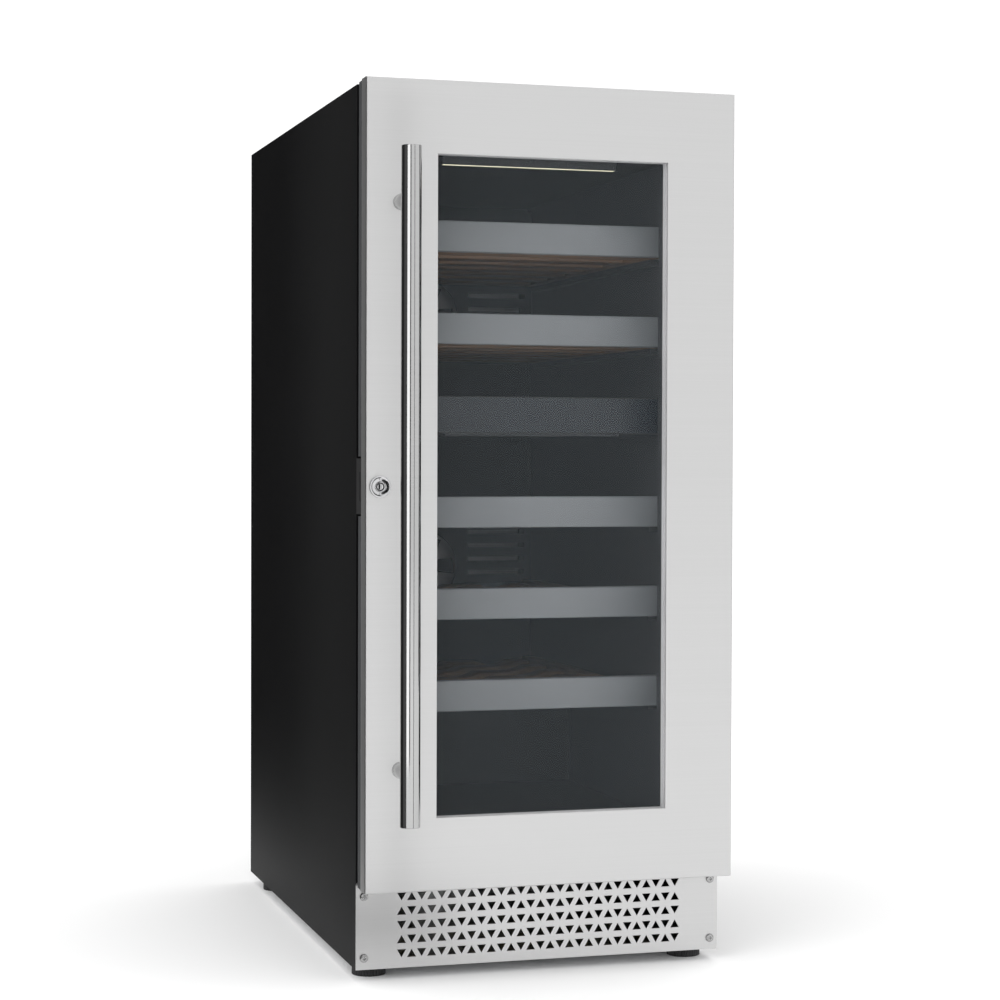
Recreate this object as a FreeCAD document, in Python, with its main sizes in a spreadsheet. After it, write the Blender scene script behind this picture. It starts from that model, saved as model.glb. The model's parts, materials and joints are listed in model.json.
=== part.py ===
import FreeCAD, Part
import math
import os
import re
import Sketcher

# Dual-zone under-counter wine cooler: cabinet, glazed door, shelves, cooling machinery and feet.
# Frame: origin at the middle of the footprint on the floor, +X to the right, +Y to the rear, +Z up.
# All lengths are in millimetres.

# ---------------------------------------------------------------- driving dimensions
SIZES = {
    # overall
    "cabinet_width": (378, "across the door and the cabinet"),
    "body_depth": (605, "door face to the rearmost point"),
    "door_height": (784, "door, top to bottom"),
    "floor_to_door": (93, "floor to the bottom of the door"),
    "foot_height": (12, "floor to the underside of the cabinet"),
    "top_step": (2, "cabinet top below the door top"),
    "sheet": (0.8, "steel sheet"),
    "overrun": (1, "a cutting tool beyond the face it cuts"),
    # door
    "skin_depth": (19, "folded depth of the stainless skin"),
    "skin_fillet": (1.4, "outer edge of the skin"),
    "frame_width": (71, "stainless border round the window"),
    "frame_behind": (15, "inner frame behind the skin"),
    "frame_gap": (5, "inner frame to the cabinet front"),
    "glass_lap": (14, "glass hidden behind the border"),
    "pane": (4, "glass thickness"),
    "glass_gap": (9, "space between the panes"),
    "spacer_width": (8, "spacer bar section"),
    "rear_lip": (3, "inner frame opening beyond the window"),
    "gasket_inset": (14, "gasket in from the door edge"),
    "gasket_width": (10, "gasket section"),
    "gasket_groove": (6, "gasket depth inside the inner frame"),
    # handle
    "handle_radius": (9.75, "bar"),
    "handle_length": (645, "bar"),
    "handle_inset": (34.4, "bar axis from the left edge of the door"),
    "handle_standoff": (40, "bar axis in front of the door face"),
    "handle_edge": (0.8, "chamfer on the bar ends"),
    "post_radius": (8, "handle posts"),
    "post_inset": (49.5, "post axis from the end of the bar"),
    "handle_screw_radius": (3, "screws that hold the posts"),
    "handle_screw_head": (6, "head radius"),
    "handle_screw_head_height": (4, "head"),
    "handle_screw_reach": (14, "into the post"),
    # lock
    "lock_inset": (14.2, "lock axis from the left edge of the door"),
    "lock_ring_radius": (10.6, "outer ring"),
    "lock_ring_edge": (1, "chamfer on the ring"),
    "lock_ring_height": (2.6, "ring in front of the door face"),
    "lock_barrel_radius": (8, "fixed barrel"),
    "lock_core_radius": (5, "turning cylinder"),
    "lock_dish_radius": (8.6, "dished face of the ring"),
    "lock_dish": (1.4, "depth of the dish"),
    "keyway_radius": (3.9, "ring-shaped keyway"),
    "keyway_pin": (2.9, "pin in the middle of the keyway"),
    "keyway_depth": (2, "keyway"),
    "lock_clearance": (0.05, "cylinder in its barrel"),
    "cam_thickness": (2.5, "cam plate"),
    "cam_width": (8, "cam plate"),
    "cam_reach": (12.5, "lock axis to the cam tip"),
    "cam_clearance": (1.5, "round the turning cam"),
    "cam_gap": (1, "in front of the cam, and half of it behind"),
    "strike_thickness": (3.5, "strike plate"),
    "strike_height": (54, "strike plate"),
    "strike_clear": (0.6, "strike behind the skin"),
    "strike_lip": (2.9, "strike in front of the cam"),
    "strike_gap": (0.3, "strike slot round the cam thickness"),
    "strike_room": (2, "round the strike, in the door"),
    # door hinges
    "pivot_inset": (9, "hinge axis from the right edge"),
    "pivot_depth": (10, "hinge axis behind the door face"),
    "hinge_drop": (7, "door edge to the hinge plate"),
    "hinge_plate": (4, "plate thickness"),
    "hinge_neck": (9, "plate width inside the door"),
    "hinge_boss": (6, "plate end radius"),
    "hinge_pin_radius": (3.5, "pin"),
    "hinge_pin_length": (16, "pin beyond the plate"),
    "hinge_clearance": (0.05, "pin in its bush"),
    "bush_wall": (1.5, "hinge bush"),
    "bush_flange": (2, "flange beyond the bush"),
    "hinge_gap": (0.5, "bush flange to plate, and plate to notch"),
    "hinge_notch": (8, "door notch left of the axis"),
    "hinge_wing": (42, "plate depth inside the cabinet"),
    "hinge_wing_width": (34, "plate width inside the cabinet"),
    # cabinet
    "front_flange": (1.5, "front frame thickness"),
    "side_wall": (48, "cabinet side to the cavity"),
    "top_wall": (60, "cabinet top to the cavity"),
    "floor_rise": (48, "door bottom to the cavity floor"),
    "floor_wall": (45, "cavity floor to the duct below it"),
    "rear_wall": (60, "rear to the cavity"),
    "liner": (1.5, "plastic liner"),
    "machine_depth": (190, "machine bay, from the rear"),
    "bay_headroom": (21.5, "drip tray to the machine bay's ceiling"),
    "machine_wall": (40, "insulation round the machine bay"),
    # toe plate
    "toe_overlap": (5.6, "toe plate above the door bottom"),
    "toe_sheet": (1.2, "toe plate"),
    "toe_corner": (4, "rounded top corners"),
    "grille_margin": (46, "side of the plate to the middle of the first triangle"),
    "grille_side": (9.2, "side of a triangle"),
    "grille_top": (10.8, "door bottom to the middle of the top row"),
    "grille_bottom": (14.2, "middle of the lowest row to the plate's lower edge"),
    "grille_columns": (29, "triangles in a row"),
    "grille_rows": (5, "rows"),
    "toe_screw_inset": (8, "screw from the side"),
    "toe_screw_high": (9, "upper screws below the door bottom"),
    "toe_screw_low": (11.5, "lower screws above the plate's lower edge"),
    "toe_screw_head": (4.2, "head radius"),
    "toe_screw_flat": (2.5, "flat part of the head, radius"),
    "toe_screw_dome": (2.3, "head height"),
    "toe_screw_radius": (2, "shank radius"),
    "toe_tab": (18, "tab behind the toe plate"),
    # shelves
    "shelf_front": (57, "door face to the shelf front"),
    "trim_play": (9, "shelf front to liner, each side"),
    "trim_depth": (12, "shelf front"),
    "trim_height": (30.7, "shelf front"),
    "lower_shelves": (3, "shelves in the lower zone"),
    "upper_shelves": (2, "shelves in the upper zone"),
    "first_over_step": (30.3, "lowest shelf above the machine step"),
    "last_under_divider": (94.2, "underside of the last lower shelf below the divider"),
    "first_over_divider": (88.3, "underside of the first upper shelf above that of the divider"),
    "last_under_ceiling": (97.7, "underside of the last upper shelf below the ceiling"),
    "rack_gap": (10, "rack to air duct"),
    "slat_count": (7, "slats in a rack"),
    "rack_rail": (18, "side rail width"),
    "rack_height": (14, "side rail height"),
    "rack_play": (4, "rack to liner, each side"),
    "slat_width": (32, "slat"),
    "slat_height": (11, "slat"),
    "cradle_radius": (40, "bottle cradle"),
    "cradle_depth": (5, "bottle cradle"),
    "cradle_pitch": (78, "bottle to bottle"),
    "ledge_width": (12, "liner ledge"),
    "ledge_height": (6, "liner ledge"),
    "ledge_gap": (0.3, "ledge to rack"),
    # divider and lights
    "lower_zone_share": (0.5883, "lower zone's part of the cavity height"),
    "divider_height": (11, "divider"),
    "panel_height": (36.5, "control panel"),
    "panel_depth": (14, "control panel"),
    "light_margin": (49, "light bar to liner, each side"),
    "light_depth": (10, "light bar"),
    "light_height": (9, "upper light bar"),
    "strip_height": (2.4, "lower light bar"),
    "light_setback": (10, "light bar behind the shelf fronts"),
    # air ducts and fans
    "duct_depth": (42, "air duct at the rear of the cavity"),
    "duct_wall": (2, "duct cover"),
    "duct_margin": (8, "duct cover to the liner"),
    "duct_slots": (6, "slots in a duct cover"),
    "duct_slot": (5.4, "slot height"),
    "duct_slot_pitch": (16, "slot to slot"),
    "duct_slot_gap": (16, "fan opening to slots"),
    "fan_radius": (38, "circulation fan"),
    "fan_depth": (10, "blades, front to back"),
    "fan_setback": (1, "fan behind the duct cover"),
    "fan_tip_gap": (2.5, "blade tip to the opening"),
    "fan_hub": (13, "hub radius"),
    "fan_blades": (5, "blades on each fan"),
    "blade_thickness": (1.4, "fan blade"),
    "blade_setback": (0.5, "blade behind the front of the hub"),
    "motor_radius": (16, "fan motor"),
    "motor_length": (14, "fan motor"),
    "motor_gap": (1.6, "hub to motor"),
    "shaft_grip": (5, "shaft inside the hub"),
    "bore_depth": (6.6, "hole in the hub"),
    "shaft_radius": (1.5, "motor shaft"),
    "shaft_clearance": (0.05, "shaft in the hub"),
    "evaporator_plate": (3, "evaporator plate"),
    # machine bay
    "compressor_radius": (60, "compressor shell"),
    "compressor_height": (118, "compressor shell"),
    "compressor_shoulder": (18, "rounded edges of the shell"),
    "compressor_inset": (88, "compressor axis from the rear"),
    "compressor_space": (96, "compressor axis to the side panel"),
    "mount_radius": (9, "rubber mount"),
    "mount_height": (16, "rubber mount"),
    "mount_spacing": (96, "rubber mounts"),
    "compressor_foot": (3, "compressor foot plate"),
    "condenser_fan_radius": (52, "condenser fan"),
    "condenser_gap": (53, "compressor plate to condenser"),
    "condenser_space": (30, "condenser to the side panel"),
    "condenser_height": (120, "condenser"),
    "condenser_depth": (38, "condenser"),
    "condenser_lift": (14, "condenser above the base pan"),
    "condenser_inset": (176, "condenser front from the rear"),
    "condenser_tube": (4, "condenser tube radius"),
    "tube_rows": (4, "condenser tubes"),
    "fin_count": (15, "condenser fins"),
    "fin_thickness": (1, "condenser fin"),
    "tray_height": (16, "condensate tray"),
    "tray_wall": (1.5, "condensate tray"),
    "hanger_width": (6, "tray hanger"),
    "tray_gap": (5, "tray above the compressor"),
    "control_box_depth": (46, "control box"),
    "control_box_height": (34, "control box"),
    # rear
    "gland_flange": (3, "cord gland outside the rear panel"),
    "gland_radius": (11, "gland flange"),
    "gland_neck": (7, "gland in the panel hole"),
    "gland_bore": (4, "hole for the supply cord"),
    "gland_tail": (4, "gland inside the rear panel"),
    "gland_space": (38, "gland axis to the side panel"),
    "gland_rise": (70, "gland above the cabinet underside"),
    "vent_count": (7, "rear vent slots"),
    "vent_width": (5, "rear vent slots"),
    "vent_pitch": (15, "rear vent slots"),
    "vent_length": (120, "rear vent slots"),
    # feet
    "foot_radius": (17, "levelling foot"),
    "foot_edge": (2, "rounded rim of a foot"),
    "foot_inset": (22, "foot axis from the side"),
    "front_foot": (76, "front feet from the door face"),
    "rear_foot": (60, "rear feet from the rear"),
    "stud_radius": (4, "foot stud"),
    "stud_length": (24, "foot stud above the cabinet underside"),
    "stud_clearance": (0.05, "stud in the base pan"),
    "pan": (1.5, "base pan"),
}

# ---------------------------------------------------------------- places worked out from the sizes
PLACES = {
    "half_width": "cabinet_width / 2",
    "handle_reach": "handle_standoff + handle_radius",
    "door_face": "(handle_reach - body_depth) / 2",
    "rear_face": "door_face + body_depth",
    "panel_back": "rear_face - gland_flange",
    "rear_inside": "panel_back - sheet",
    "case_front": "frame_back + frame_gap",
    "door_low": "floor_to_door",
    "door_high": "floor_to_door + door_height",
    "door_middle": "floor_to_door + door_height / 2",
    "case_high": "door_high - top_step",
    "shell_half": "half_width - sheet",
    "window_half": "half_width - frame_width",
    "window_low": "door_low + frame_width",
    "window_high": "door_high - frame_width",
    "glass_front": "door_face + sheet",
    "glass_middle": "glass_front + pane",
    "glass_rear": "glass_middle + glass_gap",
    "glass_back": "glass_rear + pane",
    "frame_back": "door_face + skin_depth + frame_behind",
    "groove_front": "frame_back - gasket_groove",
    "gasket_inner": "gasket_inset + gasket_width",
    "cavity_half": "half_width - side_wall",
    "cavity_low": "door_low + floor_rise",
    "cavity_high": "case_high - top_wall",
    "cavity_rear": "rear_face - rear_wall",
    "floor_under": "cavity_low - floor_wall",
    "bay_high": "tray_low + tray_height + bay_headroom",
    "bay_front": "rear_face - machine_depth",
    "step_high": "bay_high + machine_wall",
    "step_front": "bay_front - machine_wall",
    "pan_top": "foot_height + pan",
    "lock_x": "lock_inset - half_width",
    "strike_front": "door_face + skin_depth + strike_clear",
    "cam_front": "strike_front + strike_lip",
    "cam_back": "cam_front + cam_thickness",
    "handle_x": "handle_inset - half_width",
    "handle_y": "door_face - handle_standoff",
    "post_spacing": "handle_length - 2 * post_inset",
    "pivot_x": "half_width - pivot_inset",
    "pivot_y": "door_face + pivot_depth",
    "bush_bore": "hinge_pin_radius + hinge_clearance",
    "bush_radius": "bush_bore + bush_wall",
    "bush_face": "hinge_drop + hinge_plate + hinge_gap",
    "bush_seat": "bush_face + 2 * hinge_gap",
    "duct_front": "cavity_rear - duct_depth",
    "duct_half": "cavity_half - duct_margin",
    "trim_half": "cavity_half - trim_play",
    "light_half": "cavity_half - light_margin",
    "rack_half": "cavity_half - rack_play",
    "rack_front": "door_face + shelf_front + trim_depth",
    "rack_length": "duct_front - rack_gap - rack_front",
    "light_front": "door_face + shelf_front + trim_depth + light_setback",
    "divider_base": "cavity_low + lower_zone_share * (cavity_high - cavity_low)",
    "divider_top": "divider_base + divider_height",
    "toe_high": "door_low + toe_overlap",
    "mount_top": "pan_top + mount_height",
    "tray_low": "mount_top + compressor_height + tray_gap",
    "plate_half": "mount_spacing / 2 + mount_radius",
    "compressor_side": "shell_half - compressor_space",
    "compressor_y": "rear_face - compressor_inset",
    "condenser_left": "plate_half - compressor_side + condenser_gap",
    "condenser_right": "shell_half - condenser_space",
    "condenser_side": "(condenser_left + condenser_right) / 2",
    "condenser_half": "(condenser_right - condenser_left) / 2",
    "gland_side": "shell_half - gland_space",
    "condenser_front": "rear_face - condenser_inset",
    "condenser_low": "pan_top + condenser_lift",
}

doc = FreeCAD.newDocument("wine_cooler")
sheet = doc.addObject("Spreadsheet::Sheet", "Sizes")
for row, (alias, (number, meaning)) in enumerate(SIZES.items(), start=1):
    sheet.set(f"A{row}", meaning)
    sheet.set(f"B{row}", str(number))
    sheet.setAlias(f"B{row}", alias)
doc.recompute()

WORD = re.compile(r"[a-z_]+")
TO_REAR = FreeCAD.Rotation(FreeCAD.Vector(1, 0, 0), -90)
TO_RIGHT = FreeCAD.Rotation(FreeCAD.Vector(0, 1, 0), 90)
TO_FRONT = FreeCAD.Rotation(FreeCAD.Vector(1, 0, 0), 90)
UPSIDE_DOWN = FreeCAD.Rotation(FreeCAD.Vector(1, 0, 0), 180)
BLADE_PITCH = FreeCAD.Rotation(FreeCAD.Vector(1, 0, 0), -50)
FIRST_BLADE = 7  # degrees from the +X direction
ROUGH = 30  # size of a sketch before its constraints bring it to shape
NEAR = 0.1  # edges closer than this are taken as being on the same line
TOE_SCREW_LEVELS = ("door_low - toe_screw_high", "foot_height + toe_screw_low")
nodes = []


def formula(text):
    """Writes a size or place expression in terms of the sheet's cells."""
    def swap(match):
        word = match.group()
        if word in PLACES:
            return f"({formula(PLACES[word])})"
        if word in SIZES:
            return f"Sizes.{word}"
        return word
    return WORD.sub(swap, str(text))


def size(alias):
    return float(sheet.get(alias))


def count(alias):
    return int(sheet.get(alias))


def place(item, x=0, y=0, z=0, turn=None):
    if turn:
        item.Placement = FreeCAD.Placement(FreeCAD.Vector(), turn)
    for axis, text in zip("xyz", (x, y, z)):
        item.setExpression(f"Placement.Base.{axis}", formula(text))
    return item


def keep(item, label):
    """Marks a finished piece: its label is the name of its node."""
    item.Label = label
    nodes.append(item)
    return item


# ---------------------------------------------------------------- primitives and booleans
def block(name, x, y, z):
    """A box given by its (low, high) limits along X, Y and Z."""
    item = doc.addObject("Part::Box", name)
    for edge, (low, high) in zip(("Length", "Width", "Height"), (x, y, z)):
        item.setExpression(edge, formula(f"({high}) - ({low})"))
    return place(item, x[0], y[0], z[0])


def rod(name, radius, length, x, y, z, turn=None):
    """A cylinder that starts at x, y, z and runs along +Z, or along the turned axis."""
    item = doc.addObject("Part::Cylinder", name)
    item.setExpression("Radius", formula(radius))
    item.setExpression("Height", formula(length))
    return place(item, x, y, z, turn)


def join(name, *items):
    item = doc.addObject("Part::MultiFuse", name)
    item.Shapes = list(items)
    return item


def cut(name, base, *tools):
    item = doc.addObject("Part::Cut", name)
    item.Base = base
    item.Tool = tools[0] if len(tools) == 1 else join(f"{name}_tools", *tools)
    return item


def both(half):
    """The (low, high) limits of something centred on the middle plane."""
    return f"-({half})", half


def sided(side, low, high):
    """The (low, high) limits of something on the right (side 1), or its mirror image on the left (-1)."""
    return (low, high) if side > 0 else (f"-({high})", f"-({low})")


# ---------------------------------------------------------------- sketched bodies
def new_sketch(body, name, role):
    item = body.newObject("Sketcher::SketchObject", name)
    plane = next(feature for feature in body.Origin.OriginFeatures if feature.Role == role)
    item.AttachmentSupport = [(plane, "")]
    item.MapMode = "FlatFace"
    return item


def bind(sketch, kind, *where, to):
    """Adds a distance constraint and ties it to an expression."""
    index = sketch.addConstraint(Sketcher.Constraint(kind, *where, 1.0))
    sketch.setExpression(f"Constraints[{index}]", formula(to))


def add_polygon(sketch, points):
    """A closed outline. Each point is a pair of expressions, at or above and right of the origin."""
    start = sketch.GeometryCount
    total = len(points)
    for index in range(total):
        turn = 2 * math.pi * index / total
        following = 2 * math.pi * (index + 1) / total
        ends = [FreeCAD.Vector(ROUGH * (2 + math.cos(angle)), ROUGH * (2 + math.sin(angle)), 0)
                for angle in (turn, following)]
        sketch.addGeometry(Part.LineSegment(*ends), False)
    for index in range(total):
        following = start + (index + 1) % total
        sketch.addConstraint(Sketcher.Constraint("Coincident", start + index, 2, following, 1))
    for index, (across, up) in enumerate(points):
        edge = start + index
        if across == 0:
            sketch.addConstraint(Sketcher.Constraint("PointOnObject", edge, 1, -2))
        else:
            bind(sketch, "DistanceX", -1, 1, edge, 1, to=across)
        if up == 0:
            sketch.addConstraint(Sketcher.Constraint("PointOnObject", edge, 1, -1))
        else:
            bind(sketch, "DistanceY", -1, 1, edge, 1, to=up)


def add_rectangle(sketch, half, low, high):
    """A rectangle centred on the sketch's vertical axis."""
    start = sketch.GeometryCount
    corners = [FreeCAD.Vector(ROUGH * across, ROUGH * up, 0)
               for across, up in ((-1, 1), (1, 1), (1, 2), (-1, 2))]
    for index in range(4):
        sketch.addGeometry(Part.LineSegment(corners[index], corners[(index + 1) % 4]), False)
    for index in range(4):
        following = start + (index + 1) % 4
        sketch.addConstraint(Sketcher.Constraint("Coincident", start + index, 2, following, 1))
    sketch.addConstraint(Sketcher.Constraint("Horizontal", start + 2))
    for edge in (start + 1, start + 3):
        sketch.addConstraint(Sketcher.Constraint("Vertical", edge))
    sketch.addConstraint(Sketcher.Constraint("Symmetric", start, 1, start, 2, -2))
    bind(sketch, "DistanceX", start, 1, start, 2, to=f"2 * ({half})")
    bind(sketch, "DistanceY", -1, 1, start, 1, to=low)
    bind(sketch, "DistanceY", -1, 1, start + 2, 1, to=high)


def upright_plate(name, front, depth, *rectangles):
    """A body padded to the rear from an upright sketch. Inner rectangles become openings."""
    body = doc.addObject("PartDesign::Body", name)
    profile = new_sketch(body, f"{name}_profile", "XZ_Plane")
    for half, low, high in rectangles:
        add_rectangle(profile, half, low, high)
    pad = body.newObject("PartDesign::Pad", f"{name}_pad")
    pad.Profile = profile
    pad.Reversed = True
    pad.setExpression("Length", formula(depth))
    place(body, 0, front, 0)
    return body


def turned(name, points, x, y, z, turn=None):
    """A body turned about its own upright axis from (radius, height) points."""
    body = doc.addObject("PartDesign::Body", name)
    profile = new_sketch(body, f"{name}_profile", "XZ_Plane")
    add_polygon(profile, points)
    spin = body.newObject("PartDesign::Revolution", f"{name}_spin")
    spin.Profile = profile
    spin.ReferenceAxis = (profile, ["V_Axis"])
    spin.Angle = 360
    place(body, x, y, z, turn)
    return body


def ring(name, outer, inner, y):
    """A rectangular ring as a boolean tool: outer and inner are (half, low, high)."""
    outside = block(f"{name}_outside", both(outer[0]), y, (outer[1], outer[2]))
    inside = block(f"{name}_inside", both(inner[0]), y, (inner[1], inner[2]))
    return cut(name, outside, inside)


# ---------------------------------------------------------------- cabinet
def side_panels():
    for label, side in (("left_side_panel", -1), ("right_side_panel", 1)):
        panel = block(label, sided(side, "shell_half", "half_width"), ("case_front", "rear_inside"),
                      ("foot_height", "case_high"))
        keep(panel, label)


def top_panel():
    keep(block("top_panel", both("shell_half"), ("case_front", "rear_inside"),
               ("case_high - sheet", "case_high")), "top_panel")


def rear_panel():
    sheet_metal = block("rear_sheet", both("half_width"), ("rear_inside", "panel_back"),
                        ("foot_height", "case_high"))
    tools = []
    for index in range(count("vent_count")):
        offset = f"({index} - (vent_count - 1) / 2) * vent_pitch"
        height = f"condenser_low + condenser_height / 2 + {offset}"
        tools.append(block(f"vent_{index}",
                           ("condenser_side - vent_length / 2", "condenser_side + vent_length / 2"),
                           ("rear_inside - overrun", "panel_back + overrun"),
                           (f"{height} - vent_width / 2", f"{height} + vent_width / 2")))
    tools.append(rod("gland_hole", "gland_neck", "sheet + 2 * overrun", "-gland_side",
                     "rear_inside - overrun", "foot_height + gland_rise", TO_REAR))
    keep(cut("rear_panel", sheet_metal, *tools), "rear_panel")


def base_pan():
    floor = block("pan_floor", both("shell_half"), ("case_front", "rear_inside"), ("foot_height", "pan_top"))
    parts = [floor]
    for side in (-1, 1):
        parts.append(block("pan_tab", sided(side, "shell_half - toe_tab", "shell_half"),
                           ("case_front", "case_front + front_flange"), ("pan_top", "floor_under")))
    stud_hole = "stud_radius + stud_clearance"
    tools = [rod("stud_hole", stud_hole, "pan + 2 * overrun", x, y, "foot_height - overrun")
             for _, x, y in foot_places()]
    for side in (-1, 1):
        for level in TOE_SCREW_LEVELS:
            tools.append(rod("toe_screw_hole", "toe_screw_radius", "front_flange + 2 * overrun",
                             f"{side} * (half_width - toe_screw_inset)", "case_front - overrun", level,
                             TO_REAR))
    keep(cut("base_pan", join("pan_blank", *parts), *tools), "base_pan")


def hinge_levels():
    """Each hinge: its name, the plate's (low, high) heights and the way its pin points."""
    top = "door_high - hinge_drop"
    bottom = "door_low + hinge_drop"
    return (("upper", (f"{top} - hinge_plate", top), -1), ("lower", (bottom, f"{bottom} + hinge_plate"), 1))


def hinge_slots(name, front, back):
    """Room for both hinge plates inside the cabinet, from front to back."""
    across = ("pivot_x - hinge_wing_width", "pivot_x + hinge_boss")
    return [block(f"{name}_{level}", across, (front, back), heights) for level, heights, _ in hinge_levels()]


def front_frame():
    blank = upright_plate("front_blank", "case_front", "front_flange",
                          ("shell_half", "floor_under", "case_high - sheet"),
                          ("cavity_half + liner", "cavity_low - liner", "cavity_high + liner"))
    slots = hinge_slots("front_slot", "case_front - overrun", "case_front + front_flange + overrun")
    keep(cut("front_frame", blank, *slots), "front_frame")


def cavity(name, grow, front):
    """The stepped space inside the cabinet, made larger by grow on every side, as two boxes."""
    wide = both(f"cavity_half + {grow}")
    upper = block(f"{name}_upper", wide, (front, f"cavity_rear + {grow}"),
                  (f"step_high - {grow}", f"cavity_high + {grow}"))
    lower = block(f"{name}_lower", wide, (front, f"step_front + {grow}"),
                  (f"cavity_low - {grow}", "step_high"))
    return join(name, upper, lower)


def cabinet_foam():
    blank = block("foam_blank", both("shell_half"), ("case_front + front_flange", "rear_inside"),
                  ("floor_under", "case_high - sheet"))
    bay = block("foam_bay", both("shell_half"), ("bay_front", "rear_inside"), ("floor_under", "bay_high"))
    inside = cavity("foam_cavity", "liner", "case_front")
    slots = hinge_slots("foam_slot", "case_front", "case_front + hinge_wing")
    keep(cut("cabinet_foam", blank, bay, inside, *slots), "cabinet_foam")


def inner_liner():
    outside = cavity("liner_outside", "liner", "case_front")
    inside = cavity("liner_inside", "0", "case_front - overrun")
    keep(cut("inner_liner", outside, inside), "inner_liner")


def hinge_brackets():
    for level, (low, high), way in hinge_levels():
        neck = block("neck", ("pivot_x - hinge_neck / 2", "pivot_x + hinge_neck / 2"),
                     ("pivot_y", "case_front + front_flange"), (low, high))
        boss = rod("boss", "hinge_boss", "hinge_plate", "pivot_x", "pivot_y", low)
        wing = block("wing", ("pivot_x - hinge_wing_width", "pivot_x + hinge_boss"),
                     ("case_front", "case_front + hinge_wing"), (low, high))
        pin_low = f"{low} - hinge_pin_length" if way < 0 else high
        pin = rod("pin", "hinge_pin_radius", "hinge_pin_length", "pivot_x", "pivot_y", pin_low)
        label = f"{level}_hinge_bracket"
        keep(join(label, neck, boss, wing, pin), label)


def lock_strike():
    plate = block("strike_plate", ("-half_width", "strike_thickness - half_width"),
                  ("strike_front", "case_front"),
                  ("door_middle - strike_height / 2", "door_middle + strike_height / 2"))
    slot_half = "cam_reach + cam_clearance"
    slot = block("strike_slot", ("-half_width - overrun", "strike_thickness - half_width + overrun"),
                 ("cam_front - strike_gap", "cam_back + strike_gap"),
                 (f"door_middle - ({slot_half})", f"door_middle + {slot_half}"))
    keep(cut("lock_strike", plate, slot), "lock_strike")


# ---------------------------------------------------------------- toe plate
def triangle_holes():
    """The pattern of alternating triangular holes, as one tool that hangs from its top row."""
    side = size("grille_side")
    rise = side * math.sqrt(3) / 2
    columns = count("grille_columns")
    rows = count("grille_rows")
    pitch = (size("cabinet_width") - 2 * size("grille_margin")) / (columns - 1)
    height = size("floor_to_door") - size("foot_height") - size("grille_top") - size("grille_bottom")
    row_pitch = height / (rows - 1)
    holes = []
    for row in range(rows):
        middle = -row * row_pitch
        for column in range(columns):
            across = (column - (columns - 1) / 2) * pitch
            way = -1 if (row + column) % 2 == 0 else 1
            base = middle - way * rise / 2
            corners = ((across - side / 2, base), (across + side / 2, base), (across, base + way * rise))
            points = [FreeCAD.Vector(x, 0, z) for x, z in corners]
            face = Part.Face(Part.makePolygon(points + points[:1]))
            holes.append(face.extrude(FreeCAD.Vector(0, 3 * size("toe_sheet"), 0)))
    item = doc.addObject("Part::Feature", "triangle_holes")
    item.Shape = Part.makeCompound(holes)
    return place(item, 0, "case_front - 2 * toe_sheet", "door_low - grille_top")


def toe_grille():
    plate = upright_plate("toe_blank", "case_front - toe_sheet", "toe_sheet",
                          ("half_width", "foot_height", "toe_high"))
    doc.recompute()
    top = plate.Shape.BoundBox.ZMax
    corners = [f"Edge{index}" for index, edge in enumerate(plate.Tip.Shape.Edges, start=1)
               if edge.BoundBox.ZMin > top - NEAR and edge.BoundBox.XLength < NEAR]
    pad = plate.Tip
    rounding = plate.newObject("PartDesign::Fillet", "toe_corners")
    rounding.Base = (pad, corners)
    rounding.setExpression("Radius", formula("toe_corner"))
    plate.Tip = rounding
    tools = [triangle_holes()]
    for side in (-1, 1):
        for level in TOE_SCREW_LEVELS:
            tools.append(rod("plate_screw_hole", "toe_screw_radius", "toe_sheet + 2 * overrun",
                             f"{side} * (half_width - toe_screw_inset)", "case_front - toe_sheet - overrun",
                             level, TO_REAR))
    keep(cut("toe_grille", plate, *tools), "toe_grille")


def toe_screws():
    end = "toe_screw_dome + toe_sheet + front_flange"
    points = [(0, 0), ("toe_screw_flat", 0), ("toe_screw_head", "toe_screw_dome / 2"),
              ("toe_screw_head", "toe_screw_dome"), ("toe_screw_radius", "toe_screw_dome"),
              ("toe_screw_radius", end), (0, end)]
    screws = []
    for side in (-1, 1):
        for level in TOE_SCREW_LEVELS:
            screws.append(turned("toe_screw", points, f"{side} * (half_width - toe_screw_inset)",
                                 "case_front - toe_sheet - toe_screw_dome", level, TO_REAR))
    keep(join("toe_grille_screws", *screws), "toe_grille_screws")


# ---------------------------------------------------------------- feet
def foot_places():
    """Each foot: its name and the place of its axis."""
    places = []
    for end, y in (("front", "door_face + front_foot"), ("rear", "rear_face - rear_foot")):
        for hand, side in (("left", -1), ("right", 1)):
            places.append((f"{end}_{hand}_foot", f"{side} * (half_width - foot_inset)", y))
    return places


def feet():
    points = [(0, 0), ("foot_radius - foot_edge", 0), ("foot_radius", "foot_edge"),
              ("foot_radius", "foot_height - foot_edge"), ("foot_radius - foot_edge", "foot_height"),
              ("stud_radius", "foot_height"), ("stud_radius", "foot_height + stud_length"),
              (0, "foot_height + stud_length")]
    for label, x, y in foot_places():
        keep(turned(f"{label}_turned", points, x, y, 0), label)


# ---------------------------------------------------------------- door
def hinge_notches(name, front, back):
    """Room in the door for the hinge plates, open to the right and to the rear."""
    right = ("pivot_x - hinge_notch", "half_width + overrun")
    return [block(f"{name}_top", right, (front, back), ("door_high - bush_seat", "door_high + overrun")),
            block(f"{name}_bottom", right, (front, back), ("door_low - overrun", "door_low + bush_seat"))]


def handle_levels():
    return ["door_middle - post_spacing / 2", "door_middle + post_spacing / 2"]


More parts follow.
